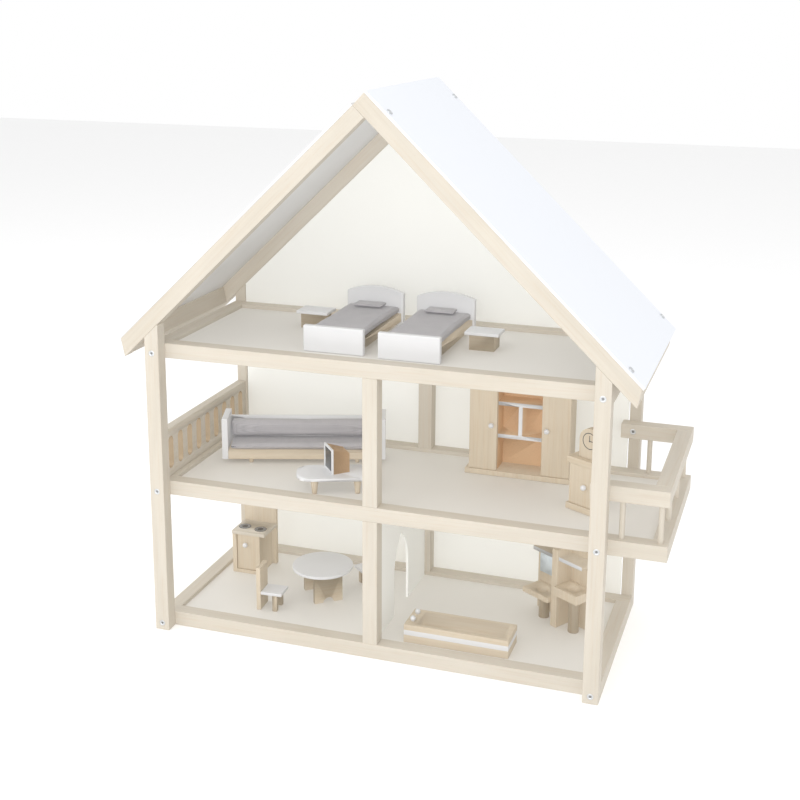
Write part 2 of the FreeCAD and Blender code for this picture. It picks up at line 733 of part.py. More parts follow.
stands = []
for i, (x, y) in enumerate(((-155.5, 164), (84, 131))):
    top = bar(
        f"nightstand_top_{i}", ("0", "stand_wide"), ("0", "stand_deep"),
        ("stand_tall - slab_thick", "stand_tall"),
    )
    base = block(
        f"nightstand_base_{i}", ("board", "stand_wide - board"), ("2", "stand_deep - 2"),
        ("0", "stand_tall - slab_thick"),
    )
    stand = joined(f"nightstand_{i}", [top, base])
    place(stand, x, f"{FRONT} + {y}", f"{FLOOR['attic']} + move_gap")
    stands.append(stand)
keep(grouped("nightstands", stands))

# Sofa: end panels, front rail, seat board and back board on four feet.
SOFA = (-241.5, 108, 18.8)
seat_low = "sofa_foot + sofa_rail"
inner_end = "sofa_long - thick_board"
parts = [
    bar("sofa_end_left", ("0", "thick_board"), ("0", "sofa_deep"), ("sofa_foot", "sofa_tall")),
    bar("sofa_end_right", (inner_end, "sofa_long"), ("0", "sofa_deep"), ("sofa_foot", "sofa_tall")),
    block("sofa_front", ("thick_board", inner_end), ("1", "1 + board"), ("sofa_foot", seat_low)),
    block(
        "sofa_board", ("thick_board", inner_end), ("1 + board", "sofa_deep - 4"),
        (f"{seat_low} - 4", seat_low),
    ),
    block(
        "sofa_back", ("thick_board", inner_end), ("sofa_deep - 4", "sofa_deep"),
        ("sofa_foot", "sofa_back_tall"),
    ),
]
for i, x in enumerate(("thick_board + 30", "sofa_long - thick_board - 30")):
    for j, y in enumerate(("1 + board", "sofa_deep - 8")):
        foot = doc.addObject("Part::Cone", f"sofa_foot_{i}{j}")
        bind(foot, Radius1="2.5", Radius2="4", Height=f"{seat_low} - 4")
        place(foot, x, y, "0")
        parts.append(foot)
settle(joined("sofa_frame", parts), "middle", *SOFA)
soft_x = ("thick_board + soft_gap", "sofa_long - thick_board - soft_gap")
soft_rear = "sofa_deep - 4 - soft_gap"
settle(bar(
    "sofa_seat", soft_x, ("2", soft_rear),
    (f"{seat_low} + soft_gap", f"{seat_low} + soft_gap + seat_tall"), "3 * edge_round",
), "middle", *SOFA)
settle(bar(
    "sofa_cushion", soft_x, (f"{soft_rear} - back_soft", soft_rear),
    (f"{seat_low} + seat_tall + 2 * soft_gap", "sofa_back_tall"), "3 * edge_round",
), "middle", *SOFA)

# Coffee table: rounded slab on four tapered legs.
COFFEE = (-66, 76, 21)
slab_low = "coffee_tall - slab_thick"
slab_x, slab_y = "slab_long / 2", "slab_wide / 2"
slab_parts = [
    block(
        "coffee_mid", (f"slab_round - {slab_x}", f"{slab_x} - slab_round"),
        (f"-{slab_y}", slab_y), (slab_low, "coffee_tall"),
    ),
    block(
        "coffee_ends", (f"-{slab_x}", slab_x),
        (f"slab_round - {slab_y}", f"{slab_y} - slab_round"), (slab_low, "coffee_tall"),
    ),
]
for i, x in enumerate((-1, 1)):
    for j, y in enumerate((-1, 1)):
        slab_parts.append(rod(
            f"coffee_corner_{i}{j}", "slab_round", "slab_thick",
            f"{x} * ({slab_x} - slab_round)", f"{y} * ({slab_y} - slab_round)", slab_low,
        ))
slab = joined("coffee_slab", slab_parts)
parts = [slab]
for i, x in enumerate((-1, 1)):
    for j, y in enumerate((-1, 1)):
        leg = doc.addObject("Part::Cone", f"coffee_leg_{i}{j}")
        bind(leg, Radius1="3", Radius2="5", Height=slab_low)
        place(leg, f"{x} * slab_long * 0.27", f"{y} * (slab_wide / 2 - 7)", "0")
        parts.append(leg)
settle(joined("coffee_table", parts), "middle", *COFFEE)

# Television: tapered body behind a framed front with a sunk screen.
TV = (-86.5, 86.5, -50.3)
face = bar("tv_front", ("0", "tv_wide"), ("0", "tv_frame"), ("0", "tv_tall"), "edge_round / 2")
screen = block(
    "tv_sink", ("tv_frame", "tv_wide - tv_frame"), ("-1", "1"), ("tv_frame", "tv_tall - tv_frame")
)
body = doc.addObject("Part::Wedge", "tv_body")
bind(
    body, Xmin="1", Xmax="tv_wide - 1", Zmin="0", Zmax="tv_tall - 1",
    Ymin="tv_frame", Ymax="tv_deep + tv_frame",
    X2min="3", X2max="tv_wide - 3", Z2min="0", Z2max="tv_tall - 8",
)
settle(
    joined("tv_set", [cut("tv_face", face, [screen]), body]), "middle", *TV,
    lift="coffee_tall + 2 * move_gap",
)

# Wardrobe: plinth, two door sections and an open middle with shelves.
WARD = (78.3, 185, 0)
ward_low = "ward_base"
ward_top = "ward_base + ward_tall"
ward_back = "door_thick + ward_deep"
inner_right = "ward_wide - ward_wing"
parts = [
    bar("ward_plinth", ("-ward_lip", "ward_wide + 1"), ("-2", ward_back), ("0", ward_low)),
    block("ward_lid", ("0", "ward_wide"), ("door_thick", ward_back), (f"{ward_top} - board", ward_top)),
    block("ward_rear", ("0", "ward_wide"), (f"{ward_back} - 3", ward_back), (ward_low, ward_top)),
]
for tag, x in (
    ("a", "0"), ("b", "ward_wing - board"), ("c", inner_right), ("d", "ward_wide - board"),
):
    parts.append(block(
        f"ward_side_{tag}", (x, f"{x} + board"), ("door_thick", ward_back), (ward_low, ward_top)
    ))
shelf_y = ("door_thick + 1", f"{ward_back} - 3")
middle_x = ("ward_wing", inner_right)
divider = "ward_wide / 2"
parts += [
    block("ward_shelf_low", middle_x, shelf_y, ("ward_base + 44", "ward_base + 49")),
    block("ward_shelf_high", middle_x, shelf_y, ("ward_base + 88", "ward_base + 93")),
    block(
        "ward_divider", (f"{divider} - 2.5", f"{divider} + 2.5"), shelf_y,
        ("ward_base + 49", "ward_base + 88"),
    ),
]
settle(joined("wardrobe_case", parts), "middle", *WARD)
door_z = (f"{ward_low} + move_gap", ward_top)
door_y = ("0", "door_thick - move_gap")


def knobbed(name, x, y, z, knob_x, knob_z):
    """Door leaf with a round knob pegged into its face."""
    leaf = bar(f"{name}_leaf", x, y, z)
    stem = rod(
        f"{name}_stem", "knob_dia / 4", "knob_dia / 2 + 1", knob_x, f"{y[0]} - knob_dia / 2", knob_z,
        "y",
    )
    ball = doc.addObject("Part::Sphere", f"{name}_ball")
    bind(ball, Radius="knob_dia / 2")
    place(ball, knob_x, f"{y[0]} - knob_dia / 2", knob_z)
    return joined(name, [leaf, stem, ball])


settle(knobbed(
    "wardrobe_door_left", ("0", "ward_wing"), door_y, door_z, "ward_wing - 7", "ward_base + 62",
), "middle", *WARD)
settle(knobbed(
    "wardrobe_door_right", (inner_right, "ward_wide"), door_y, door_z, f"{inner_right} + 7",
    "ward_base + 62",
), "middle", *WARD)

# Clock cabinet: base and top boards round a box with one door.
CAB = (222.5, 108, -28.8)
cab_top = "cab_tall - cab_base"
cab_back = "door_thick + cab_deep"
cab_y = ("door_thick + 2", f"{cab_back} - 1")
cab_z = ("cab_base", cab_top)
parts = [
    bar("cab_foot", ("0", "cab_wide"), ("0", cab_back), ("0", "cab_base")),
    bar("cab_lid", ("0", "cab_wide"), ("0", cab_back), (cab_top, "cab_tall")),
    block("cab_side_a", ("3", "3 + board"), cab_y, cab_z),
    block("cab_side_b", ("cab_wide - 3 - board", "cab_wide - 3"), cab_y, cab_z),
    block("cab_rear", ("3", "cab_wide - 3"), (f"{cab_back} - 4", f"{cab_back} - 1"), cab_z),
]
settle(joined("clock_cabinet", parts), "middle", *CAB)
settle(knobbed(
    "clock_cabinet_door", ("3", "cab_wide - 3"), ("2", "door_thick + 2 - move_gap"),
    ("cab_base + move_gap", f"{cab_top} - move_gap"), "cab_wide - 12", "cab_tall / 2",
), "middle", *CAB)
clock_x = "cab_wide - clock_wide / 2 + 3"
arch_r = "clock_wide / 2"
clock_spring = "clock_tall - clock_wide / 2"
settle(joined("mantel_clock", [
    block(
        "clock_block", (f"{clock_x} - {arch_r}", f"{clock_x} + {arch_r}"), ("8", "8 + clock_deep"),
        ("0", clock_spring),
    ),
    rod("clock_arch", arch_r, "clock_deep", clock_x, "8", clock_spring, "y"),
]), "middle", *CAB, lift="cab_tall + 2 * move_gap")

# Stove: box with a door, a white worktop with two hobs and a tall back board.
STOVE = (-257.5, 162, 0)
work_low = "stove_tall - 5"
stove_y = ("0.5", "stove_deep")
parts = [
    bar(
        "stove_back_board", ("-3", "stove_wide - 1"), ("stove_deep", "stove_deep + board"),
        ("0", "stove_back"),
    ),
    bar("stove_worktop", ("0", "stove_wide"), ("0", "stove_deep"), (work_low, "stove_tall")),
    block("stove_side_a", ("1", "1 + board"), stove_y, ("0", work_low)),
    block("stove_side_b", ("stove_wide - 8 - board", "stove_wide - 8"), stove_y, ("0", work_low)),
    block("stove_bottom", ("1 + board", "stove_wide - 8 - board"), stove_y, ("0", "5")),
]
for i, x in enumerate((13, 38)):
    parts.append(rod(f"stove_hob_{i}", "hob_dia / 2", "1.5", x, f"{17 - 3 * i}", "stove_tall - 0.5"))
settle(joined("stove_case", parts), "ground", *STOVE)
settle(knobbed(
    "stove_door", ("1 + board + move_gap", "stove_wide - 8 - board - move_gap"),
    ("2", "door_thick + 2 - move_gap"),
    ("5 + move_gap", f"{work_low} - move_gap"), "stove_wide * 0.42", "stove_tall - 19",
), "ground", *STOVE)

# Dining table: round slab on two notched boards.
DINING = (-110, 137, 39.5)
dining_low = "dining_tall - slab_thick"
parts = [eased(rod("dining_disc", "round_dia / 2", "slab_thick", "0", "0", dining_low), "dining_top")]
for i, y in enumerate(("-leg_apart / 2 - board", "leg_apart / 2")):
    board = block(
        f"dining_board_{i}", ("-leg_board / 2", "leg_board / 2"), (y, f"{y} + board"), ("0", dining_low)
    )
    notch = rod(f"dining_notch_{i}", "leg_board / 5", "board + 2", "0", f"{y} - 1", "-1", "y")
    parts.append(cut(f"dining_leg_{i}", board, [notch]))
settle(joined("dining_table", parts), "ground", *DINING)

# Chairs face along their own +X.
for side, x, y, angle in (("left", -177, 79.5, 3), ("right", -50, 203, -131)):
    half = "seat_wide / 2"
    parts = [
        bar(f"chair_{side}_back", ("0", "board"), (f"-{half}", half), ("0", "chair_back")),
        bar(
            f"chair_{side}_seat", ("board", "board + seat_deep"), (f"-{half}", half),
            ("seat_high - slab_thick", "seat_high"),
        ),
    ]
    for i, way in enumerate((-1, 1)):
        low = f"{way} * ({half} - 4) - 3"
        parts.append(block(
            f"chair_{side}_leg_{i}", ("seat_deep - 7", "seat_deep - 1"), (low, f"{low} + 6"),
            ("0", "seat_high - slab_thick"),
        ))
    settle(joined(f"chair_{side}", parts), "ground", x, y, angle)

# Bathtub: three glued layers, hollowed, with a deck and two ball taps.
TUB = (35.5, 46, 0)
outer = joined("tub_block", [
    bar(f"tub_layer_{i}", ("0", "tub_long"), ("0", "tub_wide"), (low, high), "edge_round / 2")
    for i, (low, high) in enumerate((
        ("0", "tub_tall * 0.42"), ("tub_tall * 0.42", "tub_tall * 0.7"), ("tub_tall * 0.7", "tub_tall"),
    ))
])
hollow = block(
    "tub_hollow", ("tub_deck", "tub_long - tub_wall - 2"), ("tub_wall", "tub_wide - tub_wall"),
    ("4", "tub_tall + 1"),
)
parts = [cut("tub_shell", outer, [hollow])]
for i, y in enumerate((13, 33)):
    stem = rod(f"tap_stem_{i}", "knob_dia / 4", "knob_dia / 2 + 1", "tub_deck / 2", y, "tub_tall - 1")
    ball = doc.addObject("Part::Sphere", f"tap_ball_{i}")
    bind(ball, Radius="knob_dia / 2")
    place(ball, "tub_deck / 2", y, "tub_tall + knob_dia / 2")
    parts += [stem, ball]
settle(joined("bathtub", parts), "ground", *TUB)

# Washstand: back board and divider with a shelf and a basin in each bay.
WASH = (204.5, 147.5, -33)
half_div = "5"
shelf_y = ("2", "wash_deep")
shelf_z = ("shelf_high", "shelf_high + 5")
parts = [
    bar("wash_divider", (f"-{half_div}", half_div), ("0", "wash_deep"), ("0", "wash_tall")),
    bar(
        "wash_back", (f"-{half_div} - wash_left", f"{half_div} + wash_right"),
        ("wash_deep", "wash_deep + board"), ("0", "wash_tall"),
    ),
    block("wash_shelf_left", (f"-{half_div} - wash_left + 14", f"-{half_div}"), shelf_y, shelf_z),
    block("wash_shelf_right", (half_div, f"{half_div} + wash_right - 4"), shelf_y, shelf_z),
    block(
        "wash_mirror", ("-50", "-10"), ("wash_deep - 1.5", "wash_deep"),
        ("wash_basin - 7", "wash_basin + 31"),
    ),
]
BASINS = (
    (f"-{half_div} - wash_left + 4", f"-{half_div}", "wash_low", "7"),
    (half_div, f"{half_div} + wash_right - 4", "wash_basin", "12"),
)
for i, (low, high, top, thick) in enumerate(BASINS):
    centre = f"(({low}) + ({high})) / 2"
    slab = bar(f"wash_slab_{i}", (low, high), ("-6", "wash_deep"), (f"{top} - {thick}", top))
    bowl = doc.addObject("Part::Cone", f"wash_bowl_{i}")
    bind(bowl, Radius1="6", Radius2="11", Height="5")
    place(bowl, centre, "10", f"{top} - 4")
    parts.append(cut(f"wash_basin_{i}", slab, [bowl]))
    parts.append(rod(f"wash_pedestal_{i}", "7", f"{top} - {thick} + 0.5", centre, "12", "0"))
settle(joined("washstand", parts), "ground", *WASH)

# ---------------------------------------------------------------- output
doc.recompute()
faults = [item.Name for item in doc.Objects if {"Invalid", "Error"} & set(item.State)]
for node in nodes:
    if node.Shape.isNull() or not node.Shape.isValid() or not node.Shape.Solids:
        faults.append(node.Name)
if faults:
    raise RuntimeError(f"faulty objects: {faults}")
os.makedirs("parts", exist_ok=True)
for node in nodes:
    node.Shape.exportStep(f"parts/{node.Label}.step")
    box = node.Shape.BoundBox
    print(f"{node.Label:24s} solids {len(node.Shape.Solids):2d}  x {box.XMin:7.1f} {box.XMax:7.1f}"
          f"  y {box.YMin:7.1f} {box.YMax:7.1f}  z {box.ZMin:6.1f} {box.ZMax:6.1f}")
print(len(nodes), "parts")
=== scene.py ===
import json
from math import cos, pi, radians, sin

import bmesh
import bpy
from mathutils import Matrix, Vector

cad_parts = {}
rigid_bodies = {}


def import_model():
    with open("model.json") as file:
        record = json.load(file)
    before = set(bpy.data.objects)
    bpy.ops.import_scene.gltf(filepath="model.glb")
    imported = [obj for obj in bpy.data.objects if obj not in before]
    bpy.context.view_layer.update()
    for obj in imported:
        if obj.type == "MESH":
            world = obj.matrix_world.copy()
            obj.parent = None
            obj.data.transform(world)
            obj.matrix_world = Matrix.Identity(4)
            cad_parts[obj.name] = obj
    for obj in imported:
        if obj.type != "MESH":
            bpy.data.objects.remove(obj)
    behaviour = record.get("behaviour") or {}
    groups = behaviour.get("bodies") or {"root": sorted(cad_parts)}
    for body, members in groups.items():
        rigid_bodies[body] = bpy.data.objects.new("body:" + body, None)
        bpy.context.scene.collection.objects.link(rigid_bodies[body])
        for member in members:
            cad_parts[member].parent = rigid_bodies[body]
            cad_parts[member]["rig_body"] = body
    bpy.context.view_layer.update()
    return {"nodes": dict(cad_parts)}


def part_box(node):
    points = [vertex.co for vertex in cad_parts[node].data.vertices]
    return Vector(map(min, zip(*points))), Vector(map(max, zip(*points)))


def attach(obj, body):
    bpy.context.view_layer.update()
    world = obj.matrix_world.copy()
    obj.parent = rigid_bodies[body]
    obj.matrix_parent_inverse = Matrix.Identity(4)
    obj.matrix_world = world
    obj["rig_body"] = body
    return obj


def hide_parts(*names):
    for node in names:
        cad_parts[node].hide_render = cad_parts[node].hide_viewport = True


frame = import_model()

bl_info = {
    "name": "Wooden Dollhouse",
    "version": (1, 0, 0),
    "blender": (4, 5, 0),
    "location": "View3D > Sidebar > Dollhouse",
    "description": "Timber frame, roof, walls and furniture of a wooden dollhouse",
    "category": "Add Mesh",
}

MM = 0.001
NODES = frame["nodes"]

# Turn of each piece of furniture on its floor, in degrees.
TURNS = {
    "sofa_frame": 18.8, "sofa_seat": 18.8, "sofa_cushion": 18.8,
    "coffee_table": 21, "tv_set": -50.3,
    "clock_cabinet": -28.8, "clock_cabinet_door": -28.8, "mantel_clock": -28.8,
    "dining_table": 39.5, "chair_left": 3, "chair_right": -131, "washstand": -33,
}


# ---------------------------------------------------------------- settings
def colour_setting(name, description, value):
    return bpy.props.FloatVectorProperty(
        name=name, description=description, default=value, size=3, min=0, max=1, subtype="COLOR"
    )


def length_setting(name, description, value):
    return bpy.props.FloatProperty(
        name=name, description=description, default=value, min=0,
        unit="LENGTH", subtype="DISTANCE", precision=5
    )


class DollhouseFinishes(bpy.types.PropertyGroup):
    timber: colour_setting(
        "Frame timber", "Whitewashed pine, light part of the grain", (0.555, 0.512, 0.443)
    )
    timber_dark: colour_setting("Frame grain", "Whitewashed pine, dark lines", (0.455, 0.392, 0.315))
    warm: colour_setting("Furniture timber", "Bare pine, light part of the grain", (0.575, 0.50, 0.395))
    warm_dark: colour_setting("Furniture grain", "Bare pine, dark lines", (0.455, 0.36, 0.25))
    paint: colour_setting("White paint", "Painted furniture boards", (0.63, 0.63, 0.635))
    wall: colour_setting("Wall board", "Back panels and partition", (0.70, 0.70, 0.70))
    floor: colour_setting("Floor board", "Floor panels", (0.86, 0.86, 0.855))
    roof: colour_setting("Roof board", "Outside of the roof panels", (0.235, 0.240, 0.252))
    fibre: colour_setting("Fibre board", "Unpainted backs and the television", (0.66, 0.46, 0.29))
    cloth: colour_setting("Cloth", "Mattresses, pillows and sofa cushions", (0.48, 0.465, 0.475))
    seam: colour_setting("Seam", "Seam lines on the cloth", (0.12, 0.12, 0.13))
    zinc: colour_setting("Zinc", "Bolts", (0.62, 0.63, 0.64))
    # The mirror colour is a painted reflection: a pale blue-grey base colour standing for the bright
    # surroundings the mirror shows.
    mirror: colour_setting("Mirror", "Washstand mirror", (0.70, 0.77, 0.82))
    ink: colour_setting("Ink", "Printed clock dial", (0.10, 0.10, 0.10))
    dark: colour_setting("Dark print", "Screen and hobs", (0.035, 0.037, 0.04))


class DollhouseSizes(bpy.types.PropertyGroup):
    line_across: length_setting("Grain spacing", "Across the grain of the timber", 0.0022)
    line_along: length_setting("Grain length", "Along the grain of the timber", 0.075)
    socket_width: length_setting("Bolt socket", "Width of the socket in a bolt head", 0.0034)
    socket_depth: length_setting("Socket depth", "Depth of the socket in a bolt head", 0.0008)
    voxel: length_setting("Voxel", "Mesh size of the soft pieces before smoothing", 0.0021)
    swell: length_setting("Swell", "Furthest that stuffing pushes the cloth out", 0.0016)
    seam_depth: length_setting("Seam depth", "How far a seam pulls in", 0.0007)
    thread: length_setting("Weave", "Width of a thread in the weave", 0.00055)
    dial: length_setting("Dial", "Radius of the clock dial", 0.0105)


class DollhouseStage(bpy.types.PropertyGroup):
    key: bpy.props.FloatProperty(
        name="Key light", description="Power of the large upper light", default=5, min=0, unit="POWER"
    )
    fill: bpy.props.FloatProperty(
        name="Front light", description="Power of the fill light in front", default=30, min=0, unit="POWER"
    )
    side: bpy.props.FloatProperty(
        name="Side lights", description="Power of the fill light on each side", default=17,
        min=0, unit="POWER"
    )
    top: bpy.props.FloatProperty(
        name="Top light", description="Power of the fill light above", default=16, min=0, unit="POWER"
    )
    sky: bpy.props.FloatProperty(
        name="Sky", description="Strength of the white surroundings", default=0.95, min=0
    )
    ground: colour_setting("Ground", "Floor the dollhouse stands on", (0.95, 0.95, 0.95))
    lens: length_setting("Lens", "Focal length of the camera, in millimetres of lens", 0.0579)


def finishes():
    return bpy.context.scene.dollhouse_finishes


def sizes():
    return bpy.context.scene.dollhouse_sizes


# ---------------------------------------------------------------- materials
class Recipe:
    """Builds one node material step by step."""

    def __init__(self, name):
        self.material = bpy.data.materials.new(name)
        self.material.use_nodes = True
        self.tree = self.material.node_tree
        self.tree.nodes.clear()
        self.shader = self.node("ShaderNodeBsdfPrincipled")
        output = self.node("ShaderNodeOutputMaterial")
        self.link(self.shader.outputs["BSDF"], output.inputs["Surface"])
        self.place = self.node("ShaderNodeTexCoord").outputs["Object"]

    def node(self, kind, **settings):
        made = self.tree.nodes.new(kind)
        for name, value in settings.items():
            setattr(made, name, value)
        return made

    def link(self, start, end):
        self.tree.links.new(start, end)

    def mapped(self, scale, rotation=(0, 0, 0)):
        """Object coordinates turned to an axis and measured in a size per axis."""
        mapping = self.node("ShaderNodeMapping", vector_type="TEXTURE")
        self.link(self.place, mapping.inputs["Vector"])
        mapping.inputs["Rotation"].default_value = rotation
        mapping.inputs["Scale"].default_value = scale
        return mapping.outputs["Vector"]

    def noise(self, vector, detail=3.0, rough=0.55, bend=0.0):
        made = self.node("ShaderNodeTexNoise")
        self.link(vector, made.inputs["Vector"])
        made.inputs["Scale"].default_value = 1.0
        made.inputs["Detail"].default_value = detail
        made.inputs["Roughness"].default_value = rough
        made.inputs["Distortion"].default_value = bend
        return made.outputs["Fac"]

    def ramp(self, value, *stops):
        made = self.node("ShaderNodeValToRGB")
        self.link(value, made.inputs["Fac"])
        points = made.color_ramp.elements
        while len(points) < len(stops):
            points.new(0.5)
        for point, (position, colour) in zip(points, stops):
            point.position = position
            point.color = (*colour, 1)
        return made.outputs["Color"]

    def mixed(self, amount, first, second, blend="MIX"):
        """Colour blend; the amount is a socket or a number."""
        made = self.node("ShaderNodeMix", data_type="RGBA", blend_type=blend)
        for index, value in ((0, amount), (6, first), (7, second)):
            if isinstance(value, bpy.types.NodeSocket):
                self.link(value, made.inputs[index])
            elif index:
                made.inputs[index].default_value = (*value, 1)
            else:
                made.inputs[index].default_value = value
        return made.outputs[2]

    def ranged(self, value, low, high):
        made = self.node("ShaderNodeMapRange")
        self.link(value, made.inputs["Value"])
        made.inputs["To Min"].default_value = low
        made.inputs["To Max"].default_value = high
        return made.outputs["Result"]

    def colour(self, socket):
        self.link(socket, self.shader.inputs["Base Color"])

    def roughness(self, socket, low, high):
        self.link(self.ranged(socket, low, high), self.shader.inputs["Roughness"])

    def bump(self, height, depth, strength=1.0):
        made = self.node("ShaderNodeBump")
        made.inputs["Strength"].default_value = strength
        made.inputs["Distance"].default_value = depth
        self.link(height, made.inputs["Height"])
        self.link(made.outputs["Normal"], self.shader.inputs["Normal"])

    def set(self, **values):
        for name, value in values.items():
            self.shader.inputs[name.replace("_", " ")].default_value = value


def tinted(colour, factor):
    return tuple(min(1.0, channel * factor) for channel in colour)


def made_once(name, build):
    found = bpy.data.materials.get(name)
    return found or build(name)


def timber(name, direction, warm=False):
    """Pine whose grain runs along a direction: whitewashed for the frame, bare and warmer for furniture."""
    def build(label):
        recipe = Recipe(label)
        finish, size = finishes(), sizes()
        turn = Vector(direction).to_track_quat("X", "Z").to_euler()
        light, dark = tuple(finish.timber), tuple(finish.timber_dark)
        if warm:
            light, dark = tuple(finish.warm), tuple(finish.warm_dark)
        across, along = size.line_across, size.line_along
        fine = recipe.noise(recipe.mapped((along, across, across), turn), 4.0, 0.6, 0.4)
        broad = recipe.noise(recipe.mapped((along * 2.2, across * 5, across * 5), turn), 2.0, 0.5, 0.8)
        pores = recipe.noise(recipe.mapped((0.006, 0.0004, 0.0004), turn), 2.0, 0.6)
        patch = recipe.noise(recipe.mapped((0.12, 0.05, 0.05), turn), 2.0, 0.5)
        grain = recipe.ramp(
            fine, (0.30, tinted(light, 1.03)), (0.50, light), (0.64, tinted(dark, 1.18)), (0.80, dark)
        )
        bands = recipe.ramp(broad, (0.38, light), (0.62, tinted(light, 0.93)))
        wood = recipe.mixed(0.55, grain, bands)
        shade = recipe.ramp(patch, (0.30, (0.95, 0.94, 0.92)), (0.70, (1.0, 1.0, 1.0)))
        wood = recipe.mixed(1.0, wood, shade, "MULTIPLY")
        specks = recipe.ramp(pores, (0.66, (1, 1, 1)), (0.80, (0.88, 0.82, 0.74)))
        recipe.colour(recipe.mixed(1.0, wood, specks, "MULTIPLY"))
        recipe.roughness(broad, 0.50, 0.68)
        recipe.bump(fine, 0.00016, 0.6)
        recipe.set(Specular_IOR_Level=0.35)
        return recipe.material
    return made_once(name, build)


def painted(name, colour, gloss=0.42, tint=0.965):
    """Sprayed paint with a faint orange peel and slow drift of tone."""
    def build(label):
        recipe = Recipe(label)
        drift = recipe.noise(recipe.mapped((0.06, 0.06, 0.06)), 3.0, 0.5)
        peel = recipe.noise(recipe.mapped((0.0011, 0.0011, 0.0011)), 2.0, 0.5)
        recipe.colour(recipe.ramp(drift, (0.32, tinted(colour, tint)), (0.68, tuple(colour))))
        recipe.roughness(drift, gloss - 0.06, gloss + 0.08)
        recipe.bump(peel, 0.00004, 0.35)
        recipe.set(Specular_IOR_Level=0.4)
        return recipe.material
    return made_once(name, build)


def fibre_board(name, colour, contrast=0.80):
    """Pressed board with fine fibres in every direction."""
    def build(label):
        recipe = Recipe(label)
        drift = recipe.noise(recipe.mapped((0.03, 0.03, 0.03)), 3.0, 0.5)
        fibres = recipe.noise(recipe.mapped((0.0009, 0.0009, 0.0014)), 4.0, 0.7, 0.6)
        base = recipe.ramp(fibres, (0.30, tinted(colour, contrast)), (0.62, tuple(colour)))
        tone = recipe.ramp(drift, (0.30, (0.95, 0.95, 0.95)), (0.70, (1, 1, 1)))
        recipe.colour(recipe.mixed(1.0, base, tone, "MULTIPLY"))
        recipe.roughness(fibres, 0.66, 0.84)
        recipe.bump(fibres, 0.00008, 0.5)
        recipe.set(Specular_IOR_Level=0.25)
        return recipe.material
    return made_once(name, build)


def woven(name, colour, turn=0.0):
    """Plain weave with uneven threads and a soft sheen."""
    def build(label):
        recipe = Recipe(label)
        thread = sizes().thread
        rotation = (0, 0, radians(turn))
        waves = []
        for along in ("X", "Y"):
            wave = recipe.node("ShaderNodeTexWave", bands_direction=along)
            recipe.link(recipe.mapped((thread * 3.2,) * 3, rotation), wave.inputs["Vector"])
            wave.inputs["Scale"].default_value = 1.0
            wave.inputs["Distortion"].default_value = 0.15
            wave.inputs["Detail Scale"].default_value = 1.5
            waves.append(wave.outputs["Fac"])
        weave = recipe.node("ShaderNodeMath", operation="MULTIPLY")
        recipe.link(waves[0], weave.inputs[0])
        recipe.link(waves[1], weave.inputs[1])
        fuzz = recipe.noise(recipe.mapped((0.0006, 0.0006, 0.0006)), 3.0, 0.7)
        drift = recipe.noise(recipe.mapped((0.02, 0.02, 0.02)), 2.0, 0.5)
        base = recipe.ramp(
            weave.outputs[0], (0.0, tinted(colour, 0.84)), (0.35, tuple(colour)),
            (1.0, tinted(colour, 1.10)),
        )
        hairs = recipe.ramp(fuzz, (0.3, (0.90, 0.90, 0.90)), (0.7, (1, 1, 1)))
        tone = recipe.ramp(drift, (0.3, (0.93, 0.93, 0.94)), (0.7, (1, 1, 1)))
        recipe.colour(recipe.mixed(1.0, recipe.mixed(1.0, base, hairs, "MULTIPLY"), tone, "MULTIPLY"))
        recipe.roughness(fuzz, 0.80, 0.95)
        recipe.bump(weave.outputs[0], 0.00022, 0.7)
        recipe.set(Sheen_Weight=0.25, Sheen_Roughness=0.5, Specular_IOR_Level=0.2)
        return recipe.material
    return made_once(name, build)


def metal(name, colour):
    """Zinc plate with fine turning marks and dull patches."""
    def build(label):
        recipe = Recipe(label)
        patch = recipe.noise(recipe.mapped((0.003, 0.003, 0.003)), 3.0, 0.6)
        marks = recipe.noise(recipe.mapped((0.0002, 0.004, 0.0002)), 2.0, 0.5)
        recipe.colour(recipe.ramp(patch, (0.3, tinted(colour, 0.78)), (0.7, tuple(colour))))
        recipe.roughness(patch, 0.24, 0.42)
        recipe.bump(marks, 0.00003, 0.4)
        recipe.set(Metallic=1.0)
        return recipe.material
    return made_once(name, build)


def glossy(name, colour, low=0.12, high=0.22):
    """Smooth print or film with faint smears."""
    def build(label):
        recipe = Recipe(label)
        smear = recipe.noise(recipe.mapped((0.012, 0.004, 0.012)), 3.0, 0.6)
        grit = recipe.noise(recipe.mapped((0.0008, 0.0008, 0.0008)), 2.0, 0.5)
        recipe.colour(recipe.ramp(smear, (0.3, tinted(colour, 0.85)), (0.7, tuple(colour))))
        recipe.roughness(smear, low, high)
        recipe.bump(grit, 0.00002, 0.3)
        recipe.set(Coat_Weight=0.2, Coat_Roughness=0.1)
        return recipe.material
    return made_once(name, build)


AXES = {"x": (1, 0, 0), "y": (0, 1, 0), "z": (0, 0, 1)}


def frame_wood(axis):
    return timber(f"frame_timber_{axis}", AXES[axis])


def bare_wood(axis):
    return timber(f"bare_timber_{axis}", AXES[axis], warm=True)


def wood_turned(angle):
    """Furniture timber whose grain runs along a piece turned on its floor."""
    name = f"bare_timber_turned_{angle:g}".replace("-", "m")
    return timber(name, (cos(radians(angle)), sin(radians(angle)), 0), warm=True)


def white_paint():
    return painted("white_paint", finishes().paint)


# ---------------------------------------------------------------- mesh helpers
def merged_copy(node):
    """A CAD node's mesh with its loose triangles joined."""
    bm = bmesh.new()
    bm.from_mesh(NODES[node].data)
    bmesh.ops.remove_doubles(bm, verts=bm.verts, dist=2e-6)
    return bm


